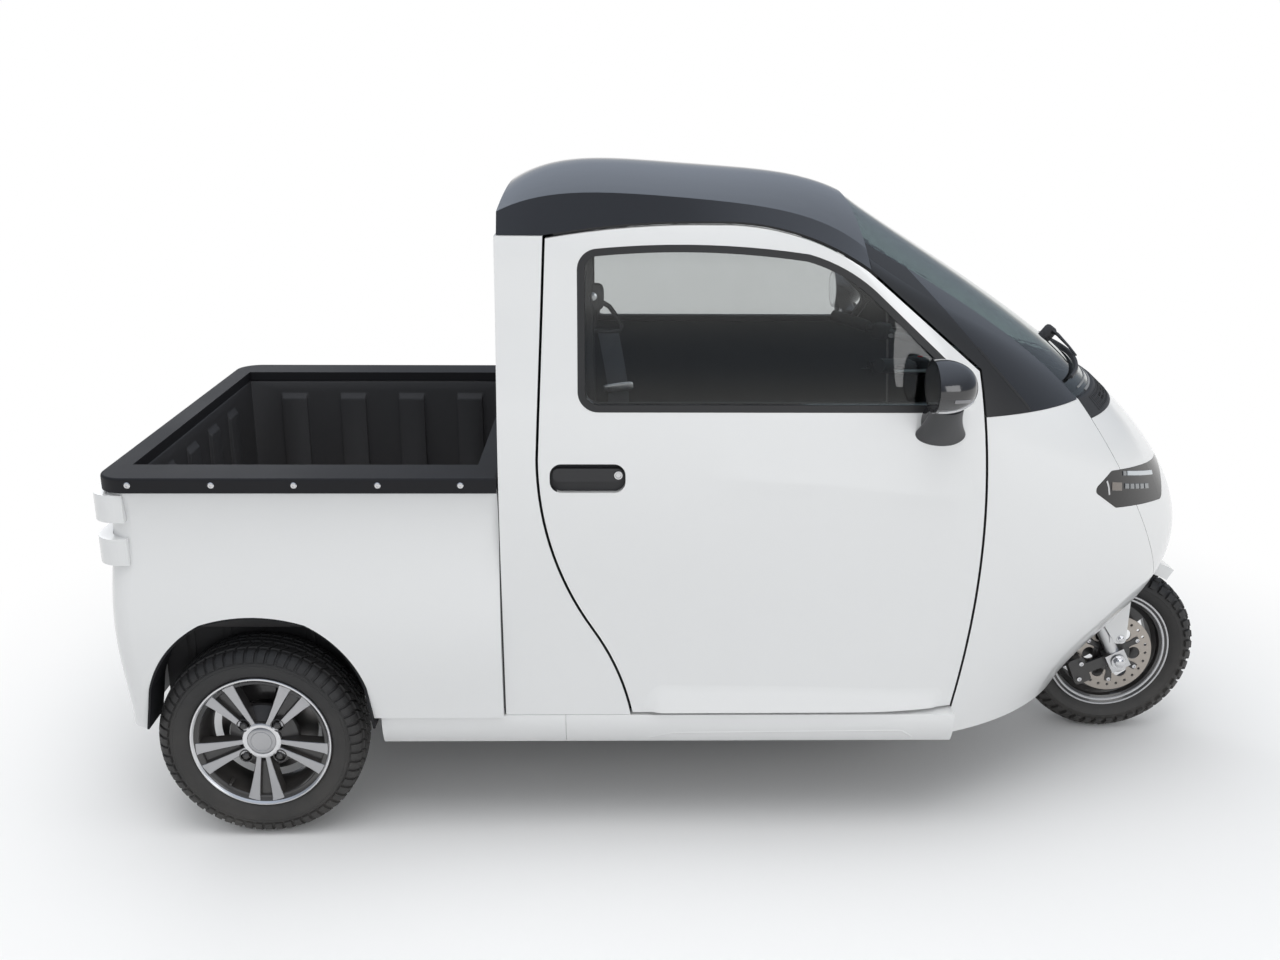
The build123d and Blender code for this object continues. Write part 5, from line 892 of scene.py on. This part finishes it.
# Wheel house walls: black moulded sheets inboard of the rear wheels, screwed under the tub's floor.
# Each is cut out over the axle and stiffened by upright ribs.
HOUSE_WALL = ((-1.315, 0.300), (-1.200, 0.300), (-1.180, 0.345), (-1.140, 0.378), (-0.985, 0.378), (-0.945, 0.345),
              (-0.925, 0.300), (-0.795, 0.300), (-0.800, 0.400), (-0.830, 0.5125), (-1.280, 0.5125), (-1.315, 0.440))
WALL_IN, WALL_OUT = 0.4215, 0.4245
WALL_RIBS = (
    # place, foot
    (-1.25, 0.305), (-1.16, 0.382), (-1.06, 0.382), (-0.96, 0.382), (-0.87, 0.305),
)
for side, name in BOTH_SIDES:
    wall = bmesh.new()
    skin(wall, [[Vector((x, side * y, z)) for x, z in HOUSE_WALL] for y in (WALL_IN, WALL_OUT)])
    for x, foot in WALL_RIBS:
        start, end = Vector((x, side * WALL_OUT, foot)), Vector((x, side * WALL_OUT, 0.506))
        rib(wall, start, end, AHEAD, LEFT * side, 0.022, 0.003)
    settle("wheel_house_" + name, wall, [moulded_black], "body")

# Tail lamps: red moulded lenses, two a side, fixed in the white housings from behind.
# Three pale bars stand across each lens.
lamp_red = textured("lamp_red", (0.36, 0.010, 0.012), 0.12, 100, 0.000005, coat=1.0)
dress(lamp_red, "tail_lenses")
LENS_FACE, LENS_MIDDLE, BAR_HALF = -1.3998, 0.448, 0.050
strips = bmesh.new()
for foot, top in ((0.808, 0.872), (0.706, 0.768)):
    for side in (-1, 1):
        for k in range(3):
            start = Vector((LENS_FACE, side * LENS_MIDDLE - BAR_HALF, foot + (top - foot) * (0.3 + 0.2 * k)))
            rib(strips, start, start + LEFT * (2 * BAR_HALF), UP, -AHEAD, 0.006, 0.0014)
settle("tail_lamp_bars", strips, [lens_pale], "body")

# Rear tyres: car tyres with a plain side wall, two moulded lines above it, and a tread of shoulder blocks and ribs.
# The carcass is turned from its section, and the blocks stand on it in rows round the crown.
def along(section, share):
    """A place on a section's line, and the direction that stands out from it there."""
    index = min(int(share * (len(section) - 1)), len(section) - 2)
    part = share * (len(section) - 1) - index
    (r0, y0), (r1, y1) = section[index], section[index + 1]
    run = math.hypot(r1 - r0, y1 - y0)
    return (r0 + (r1 - r0) * part, y0 + (y1 - y0) * part), ((y0 - y1) / run, (r1 - r0) / run)


def tread(shape, section, rows, pitches, place):
    """Blocks on the crown: each row is from, to, share of the pitch, start, slant and height."""
    for start, end, share, phase, slant, height in rows:
        for pitch in range(pitches):
            rings = []
            for lift, grow in ((-0.001, 0.0), (height - 0.0012, -0.02), (height, -0.06)):
                ring = []
                for u, v in ((0, 0), (0, 0.33), (0, 0.67), (0, 1), (0.5, 1), (1, 1), (1, 0.67), (1, 0.33), (1, 0),
                             (0.5, 0)):
                    across = start + (end - start) * (0.5 + (v - 0.5) * (1 + 2 * grow))
                    turn = phase + (0.5 + (u - 0.5) * (1 + 2 * grow)) * share + slant * (v - 0.5)
                    (radius, reach), (out_r, out_y) = along(section, across)
                    angle = 2 * math.pi * (pitch + turn) / pitches
                    radius += lift * out_r
                    ring.append(place @ Vector((radius * math.cos(angle), reach + lift * out_y,
                                                radius * math.sin(angle))))
                rings.append(ring)
            rows_made = [[shape.verts.new(point) for point in ring] for ring in rings]
            for low, high in zip(rows_made, rows_made[1:]):
                for k in range(10):
                    shape.faces.new((low[k], low[(k + 1) % 10], high[(k + 1) % 10], high[k]))
            top = rows_made[-1]
            shape.faces.new((top[0], top[1], top[7], top[8]))
            shape.faces.new((top[1], top[2], top[6], top[7]))
            shape.faces.new((top[2], top[3], top[4], top[5], top[6]))


REAR_HALF_TRACK = 0.505
REAR_SHOULDER = ((0.212, 0.0660), (0.220, 0.0645), (0.228, 0.0600), (0.2345, 0.0535), (0.2375, 0.045),
                 (0.2393, 0.034), (0.2402, 0.022), (0.2406, 0.011))
REAR_CROWN = REAR_SHOULDER + ((0.2407, 0),) + tuple((r, -y) for r, y in reversed(REAR_SHOULDER))
REAR_WALL = ((0.1655, 0.0500), (0.1705, 0.0535), (0.1745, 0.0575), (0.1800, 0.0612), (0.1880, 0.0645),
             (0.1960, 0.0664), (0.2020, 0.0668), (0.2030, 0.0675), (0.2042, 0.0675), (0.2050, 0.0667),
             (0.2085, 0.0664), (0.2095, 0.0671), (0.2105, 0.0671))
REAR_ROWS = (
    # from, to, share of the pitch, start, slant, height
    (0.02, 0.235, 0.74, 0.00, 0.10, 0.0046), (0.265, 0.385, 0.80, 0.30, 0.55, 0.0058),
    (0.415, 0.490, 0.92, 0.10, 0.25, 0.0061), (0.510, 0.585, 0.92, 0.60, 0.25, 0.0061),
    (0.615, 0.735, 0.80, 0.80, 0.55, 0.0058), (0.765, 0.98, 0.74, 0.50, 0.10, 0.0046),
)
tyre_rubber = textured("tyre_rubber", (0.017, 0.017, 0.018), 0.58, 900, 0.00008, spread=0.25, dust=0.22, fades_at=0.5)
REAR_HUBS = [(name, Matrix.Translation(REAR_AXLE + LEFT * (side * REAR_HALF_TRACK)) @ outward(side))
             for side, name in BOTH_SIDES]
for side, hub in REAR_HUBS:
    tyre = bmesh.new()
    lathe(tyre, REAR_WALL + REAR_CROWN + tuple((r, -y) for r, y in reversed(REAR_WALL)), 120, hub)
    tread(tyre, REAR_CROWN, REAR_ROWS, 58, hub)
    made = settle("tyre_rear_" + side, tyre, [tyre_rubber], "rear_wheel_" + side)
    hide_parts("rear_tyre_" + side)

# Rear wheels: cast alloy with five pairs of spokes, painted black and then turned bright on the faces and the lip.
# Four black nuts hold each wheel, under a plain cap, and a steel brake disc and its caliper sit behind it.
turned_alloy = textured("turned_alloy", (0.70, 0.70, 0.71), 0.30, 1500, 0.00002, spread=0.12, metallic=1.0)
spoke_grey = textured("spoke_grey", (0.44, 0.44, 0.45), 0.36, 1800, 0.00006, spread=0.2, metallic=1.0)
wheel_black = textured("wheel_black", (0.014, 0.014, 0.016), 0.3, 500, 0.00002, dust=0.25, fades_at=0.5, coat=0.5)
disc_steel = textured("disc_steel", (0.26, 0.25, 0.245), 0.4, 1200, 0.00003, spread=0.2, metallic=1.0)
RIM_LIP = ((0.1660, 0.0495), (0.1680, 0.0520), (0.1680, 0.0565), (0.1668, 0.0578), (0.1640, 0.0580), (0.1622, 0.0566),
           (0.1600, 0.0535))
RIM_BARREL = ((0.1600, 0.0535), (0.1560, 0.0500), (0.1500, 0.0485), (0.1478, 0.0460), (0.1470, 0.0300),
              (0.1400, 0.0150), (0.1340, 0.0050), (0.1335, -0.0250), (0.1450, -0.0420), (0.1550, -0.0560),
              (0.1680, -0.0575), (0.1680, -0.0500))
RIM_STEP = ((0.150, 0.0484), (0.150, 0.0420), (0.1475, 0.0400))
HUB_BOSS = ((0.0, 0.0445), (0.040, 0.0445), (0.0435, 0.0425), (0.046, 0.0350), (0.066, 0.0280), (0.082, 0.0215),
            (0.085, 0.0150), (0.070, 0.0100), (0.030, -0.0300), (0.021, -0.0300))
CAP_RING = ((0.0345, 0.0470), (0.0375, 0.0482), (0.0420, 0.0478), (0.0455, 0.0462), (0.0470, 0.0425))
PLAIN_CAP = ((0.0, 0.0500), (0.020, 0.0498), (0.0235, 0.0494), (0.0242, 0.0484), (0.0255, 0.0484), (0.0262, 0.0492),
             (0.0310, 0.0486), (0.0335, 0.0472), (0.0340, 0.0440))
NUT_WELL = ((0.0162, 0.0300), (0.0166, 0.0468), (0.0150, 0.0476), (0.0136, 0.0466), (0.0132, 0.0330))
WHEEL_NUT = ((0.0, 0.0530), (0.0060, 0.0524), (0.0092, 0.0500), (0.0104, 0.0470), (0.0104, 0.0320))
VALVE = ((0.0, 0.0560), (0.0030, 0.0558), (0.0034, 0.0480), (0.0030, 0.0470), (0.0042, 0.0440), (0.0046, 0.0300))
SPOKE_STATIONS = (
    # radius, offset from the pair's middle, half width, face
    (0.030, 0.0082, 0.0058, 0.0455), (0.060, 0.0130, 0.0066, 0.0462), (0.095, 0.0190, 0.0088, 0.0474),
    (0.130, 0.0252, 0.0118, 0.0490), (0.150, 0.0290, 0.0142, 0.0505), (0.1615, 0.0315, 0.0172, 0.0535),
)
NUT_CIRCLE = 0.057
VALVE_RADIUS, VALVE_TURN = 0.139, 306
for side, hub in REAR_HUBS:
    wheel = bmesh.new()
    lathe(wheel, RIM_LIP, 120, hub, finish=0)
    lathe(wheel, RIM_BARREL, 120, hub, finish=1)
    lathe(wheel, RIM_STEP, 96, hub, finish=1)
    lathe(wheel, HUB_BOSS, 60, hub, finish=1)
    for pair in range(5):
        turned = hub @ Matrix.Rotation(-math.radians(270 + 72 * pair), 4, "Y")
        for hand in (-1, 1):
            rings = []
            for radius, off, half, face in SPOKE_STATIONS:
                rings.append([turned @ Vector((radius, face + drop, hand * off + wide)) for wide, drop in (
                    (-half - 0.004, -0.026), (-half - 0.0012, -0.0045), (-half, -0.0012), (-half + 0.0009, 0),
                    (half - 0.0009, 0), (half, -0.0012), (half + 0.0012, -0.0045), (half + 0.004, -0.026))])
            skin(wheel, rings, finish=(1, 1, 2, 2, 2, 1, 1, 1))
        web = [[turned @ Vector((radius, face - depth, across)) for across, depth in (
            (-off, 0.012), (off, 0.012), (off, 0.024), (-off, 0.024))] for radius, off, _, face in SPOKE_STATIONS[1:]]
        skin(wheel, web, finish=1)
    lathe(wheel, CAP_RING, 60, hub, finish=0)
    lathe(wheel, PLAIN_CAP, 60, hub, finish=2)
    for nut in range(4):
        spot = hub @ Matrix.Rotation(-math.radians(45 + 90 * nut), 4, "Y") @ Matrix.Translation((NUT_CIRCLE, 0, 0))
        lathe(wheel, NUT_WELL, 24, spot, finish=1)
        lathe(wheel, WHEEL_NUT, 6, spot, finish=1)
    valve = hub @ Matrix.Rotation(-math.radians(VALVE_TURN), 4, "Y") @ Matrix.Translation((VALVE_RADIUS, 0, 0))
    lathe(wheel, VALVE, 12, valve, finish=1)
    made = settle("alloy_wheel_" + side, wheel, [turned_alloy, wheel_black, spoke_grey], "rear_wheel_" + side, sharp=32)
    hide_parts("rear_rim_" + side)
dress(disc_steel, "rear_disc_right", "rear_disc_left")
dress(wheel_black, "rear_calipers")

# Front tyre: a scooter tyre with tall shoulder blocks and a broken rib round the crown.
# The carcass is turned from its section, and the blocks stand on it.
FRONT_AXLE = Vector((1.157, 0, 0.243))
front_hub = Matrix.Translation(FRONT_AXLE) @ outward(-1)
FRONT_SHOULDER = ((0.2060, 0.0532), (0.2140, 0.0505), (0.2210, 0.0455), (0.2268, 0.0385), (0.2312, 0.0295),
                  (0.2338, 0.0200), (0.2350, 0.0100))
FRONT_CROWN = FRONT_SHOULDER + ((0.2354, 0),) + tuple((r, -y) for r, y in reversed(FRONT_SHOULDER))
FRONT_WALL = ((0.1690, 0.0372), (0.1730, 0.0400), (0.1780, 0.0438), (0.1850, 0.0486), (0.1920, 0.0516),
              (0.1975, 0.0530), (0.1985, 0.0537), (0.1998, 0.0537), (0.2005, 0.0534))
FRONT_ROWS = (
    # from, to, share of the pitch, start, slant, height
    (0.02, 0.20, 0.60, 0.00, 0.12, 0.0074), (0.235, 0.375, 0.62, 0.42, 0.30, 0.0076),
    (0.405, 0.49, 0.66, 0.05, 0.30, 0.0076), (0.51, 0.595, 0.66, 0.55, 0.30, 0.0076),
    (0.625, 0.765, 0.62, 0.92, 0.30, 0.0076), (0.80, 0.98, 0.60, 0.50, 0.12, 0.0074),
)
tyre = bmesh.new()
lathe(tyre, FRONT_WALL + FRONT_CROWN + tuple((r, -y) for r, y in reversed(FRONT_WALL)), 120, front_hub)
tread(tyre, FRONT_CROWN, FRONT_ROWS, 44, front_hub)
made = settle("tyre_front", tyre, [tyre_rubber], "front_wheel")
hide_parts("front_tyre")

# Front wheel: a black cast wheel with a bright stepped lip each side, and a drilled disc on a black carrier.
# Six bright screws hold the disc to the carrier.
dress(wheel_black, "front_rim")
warm_steel = textured("warm_steel", (0.40, 0.365, 0.33), 0.34, 1200, 0.00003, spread=0.2, metallic=1.0)
dress(warm_steel, "front_disc")
FRONT_LIP = ((0.1682, 0.0352), (0.1703, 0.0378), (0.1703, 0.0418), (0.1690, 0.0436), (0.1655, 0.0436),
             (0.1640, 0.0422), (0.1628, 0.0404), (0.1585, 0.0402), (0.1540, 0.0398), (0.1525, 0.0385),
             (0.1515, 0.0350), (0.1478, 0.0300))
lip = bmesh.new()
for side in (1, -1):
    lathe(lip, FRONT_LIP, 120, front_hub @ outward(side))
lip_silver = textured("lip_silver", (0.58, 0.58, 0.59), 0.4, 1200, 0.00002, spread=0.15, metallic=0.55)
settle("front_rim_lip", lip, [lip_silver], "front_wheel")
CARRIER_RING = ((0.017, 0.0652), (0.030, 0.0660), (0.036, 0.0680), (0.040, 0.0682), (0.043, 0.0655), (0.052, 0.0650),
                (0.052, 0.0642))
ARM_STATIONS = ((0.040, 0.010), (0.060, 0.0075), (0.074, 0.0095), (0.084, 0.0085))
ARM_SECTION = ((-1, 0.0640), (-1, 0.0668), (-0.7, 0.0676), (0.7, 0.0676), (1, 0.0668), (1, 0.0640))
DISC_SCREW = ((0.0, 0.0690), (0.0030, 0.0690), (0.0032, 0.0710), (0.0056, 0.0706), (0.0062, 0.0690), (0.0062, 0.0660))
carrier = bmesh.new()
lathe(carrier, CARRIER_RING, 60, front_hub)
for arm in range(6):
    turned = front_hub @ Matrix.Rotation(math.radians(30 + 60 * arm), 4, "Y")
    skin(carrier, [[turned @ Vector((radius, reach, across * half)) for across, reach in ARM_SECTION]
                   for radius, half in ARM_STATIONS])
    lathe(carrier, DISC_SCREW, 16, turned @ Matrix.Translation((0.078, 0, 0)), finish=1)
settle("disc_carrier", carrier, [wheel_black, bright_steel], "front_wheel")

# Front fork: bright legs and axle blocks, with nuts on the axle's ends and a screw through each stay.
# The caliper is black, on two bright screws.
fork_silver = textured("fork_silver", (0.58, 0.58, 0.585), 0.32, 700, 0.00004, spread=0.15, metallic=1.0)
dress(fork_silver, "fork")
dress(wheel_black, "front_caliper")
HEX_HEAD = ((0.0, 1.0), (0.35, 1.0), (0.80, 0.86), (0.86, 0.80), (0.86, 0.25))
SOCKET_HEAD = ((0.0, 0.004), (0.0030, 0.004), (0.0032, 0.0062), (0.0062, 0.0060), (0.0068, 0.0045), (0.0068, -0.002))
LEG_NUTS = (
    # place, size and height of the axle's nut and of the stay's screw
    (1.157, 0.1215, 0.243, 0.0155, 0.014), (1.155, 0.1222, 0.312, 0.0092, 0.008),
)
CALIPER_SCREWS = ((1.0655, 0.224), (1.0645, 0.178))
fixings = bmesh.new()
for side in (-1, 1):
    for x, y, z, size, height in LEG_NUTS:
        spot = Matrix.Translation((x, side * y, z)) @ outward(side)
        lathe(fixings, [(size * r, height * h) for r, h in HEX_HEAD], 6, spot)
        lathe(fixings, ((0.0, 0.002), (1.25 * size, 0.002), (1.28 * size, 0.0012), (1.28 * size, -0.001)), 28, spot)
for x, z in CALIPER_SCREWS:
    lathe(fixings, SOCKET_HEAD, 16, Matrix.Translation((x, -0.0918, z)) @ outward(-1))
settle("fork_fixings", fixings, [bright_steel], "steering")

# Handlebar: black steel tube with rubber grips, cast levers, switch blocks and a clamp on the stem.
# The right block carries a red push button.
dress(chassis_paint, "handlebar")
BAR_MIDDLE = Vector((0.7267, 0, 1.0522))
BAR_BACK = Vector((-0.982, 0, 0.191))
BAR_UP = Vector((0.191, 0, 0.982))


def on_bar(u, v, w=0.0):
    """A place on the bar's plane: out from the middle, back towards the rider, and up from it."""
    return BAR_MIDDLE + LEFT * u + BAR_BACK * v + BAR_UP * w


button_red = textured("button_red", (0.55, 0.02, 0.02), 0.3, 900, 0.00004, coat=0.5)
LEVER = ((0.196, 0.188), (0.222, 0.176), (0.252, 0.190), (0.290, 0.232), (0.330, 0.276), (0.345, 0.290))
LEVER_RADII = (0.008, 0.0085, 0.0065, 0.006, 0.006, 0.0045)
BLOCK_OUT, BLOCK_BACK = 0.226, 0.209
controls = bmesh.new()
for hand in (-1, 1):
    tube(controls, [on_bar(hand * u, v, -0.004) for u, v in LEVER], LEVER_RADII, 10, 0.7, BAR_UP)
    block = Matrix.Translation(on_bar(hand * BLOCK_OUT, BLOCK_BACK)) @ Matrix.Rotation(hand * math.radians(-42), 4, "Z")
    pad(controls, block, (0.022, 0.024, 0.022), 6, 8, finish=1)
    if hand < 0:
        push = Matrix.Translation(on_bar(-BLOCK_OUT, BLOCK_BACK, 0.022)) @ Matrix.Rotation(math.radians(90), 4, "X")
        lathe(controls, ((0.0, 0.004), (0.006, 0.0035), (0.007, 0.002), (0.007, -0.002)), 16, push, finish=2)
pad(controls, Matrix.Translation(on_bar(0, 0, -0.002)), (0.026, 0.040, 0.022), 6, 10, finish=1)
settle("bar_controls", controls, [fork_silver, moulded_black, button_red], "steering")

# Seat belt: woven webbing from a guide loop on a trimmed post beside the seat down to an anchor on the floor.
# A bright tongue slides on it; the post's black trim stands on the floor and meets the roof.
webbing_black = textured("webbing_black", (0.085, 0.09, 0.105), 0.62, 2200, 0.0003, spread=0.1)
web_tree = webbing_black.node_tree
web_place = add_node(web_tree, "ShaderNodeTexCoord")
web_twill = add_node(web_tree, "ShaderNodeTexWave", bands_direction="DIAGONAL", Scale=420.0, Distortion=0.6)
web_height = add_node(web_tree, "ShaderNodeMath", operation="ADD")
web_bump = next(node for node in web_tree.nodes if node.type == "BUMP")
chain(web_tree, (web_place.outputs["Object"], web_twill.inputs["Vector"]),
      (web_twill.outputs["Fac"], web_height.inputs[0]),
      (web_bump.inputs["Height"].links[0].from_socket, web_height.inputs[1]),
      (web_height.outputs[0], web_bump.inputs["Height"]))
BELT_Y = -0.4625
POST_STATIONS = (
    # height, place, half length, half width
    (0.288, -0.285, 0.034, 0.016), (0.60, -0.288, 0.032, 0.014), (1.00, -0.292, 0.030, 0.013),
    (1.30, -0.296, 0.029, 0.012), (1.418, -0.300, 0.028, 0.012),
)
GUIDE_LOOP = ((-0.252, 1.288), (-0.232, 1.276), (-0.214, 1.250), (-0.205, 1.232), (-0.208, 1.223), (-0.236, 1.2205),
              (-0.264, 1.223), (-0.268, 1.232), (-0.262, 1.252), (-0.256, 1.276), (-0.252, 1.288))
LOOP_SCREW = ((0.0, 0.004), (0.006, 0.0038), (0.009, 0.0022), (0.010, -0.001))


def squared(value):
    """Push a round section's sine or cosine out towards a square."""
    return math.copysign(abs(value) ** 0.4, value)


post = bmesh.new()
turns = [2 * math.pi * (k + 0.5) / 24 for k in range(24)]
skin(post, [[Vector((x + half_x * squared(math.cos(turn)), BELT_Y - 0.002 + half_y * squared(math.sin(turn)), z))
             for turn in turns] for z, x, half_x, half_y in POST_STATIONS])
pad(post, Matrix.Translation((-0.268, BELT_Y, 1.298)), (0.024, 0.011, 0.030), 4, 10)
tube(post, [(x, BELT_Y, z) for x, z in GUIDE_LOOP], 0.0055, 10, up=LEFT)
lathe(post, LOOP_SCREW, 20, Matrix.Translation((-0.268, BELT_Y - 0.0105, 1.300)) @ outward(-1), finish=1)
tongue = Matrix.Translation((-0.212, BELT_Y, 1.092)) @ Matrix.Rotation(math.radians(-8), 4, "Y")
pad(post, tongue, (0.034, 0.0035, 0.011), 5, 8, finish=1)
pad(post, Matrix.Translation((-0.200, BELT_Y, 0.297)), (0.030, 0.012, 0.012), 5, 8, finish=1)
settle("belt_post", post, [moulded_black, bright_steel], "body")
STRAP_WIDTH = 0.047
STRAP = ((-0.236, 1.2245), (-0.231, 1.200), (-0.222, 1.150), (-0.213, 1.095), (-0.207, 0.95), (-0.203, 0.75),
         (-0.201, 0.50), (-0.200, 0.300))
strap = bmesh.new()
rings = []
for k, p in enumerate(between(STRAP, 90)):
    bow = 0.006 * math.sin(math.pi * k / 89)
    rings.append([Vector((p.x + STRAP_WIDTH / 2 * s, BELT_Y + bow + 0.0005 * (1 - s * s), p.y))
                  for s in (-1, -0.96, -0.6, -0.2, 0.2, 0.6, 0.96, 1)])
skin(strap, rings, closed=False, caps=False)
webbing = settle("belt_webbing", strap, [webbing_black], "body", sharp=60)
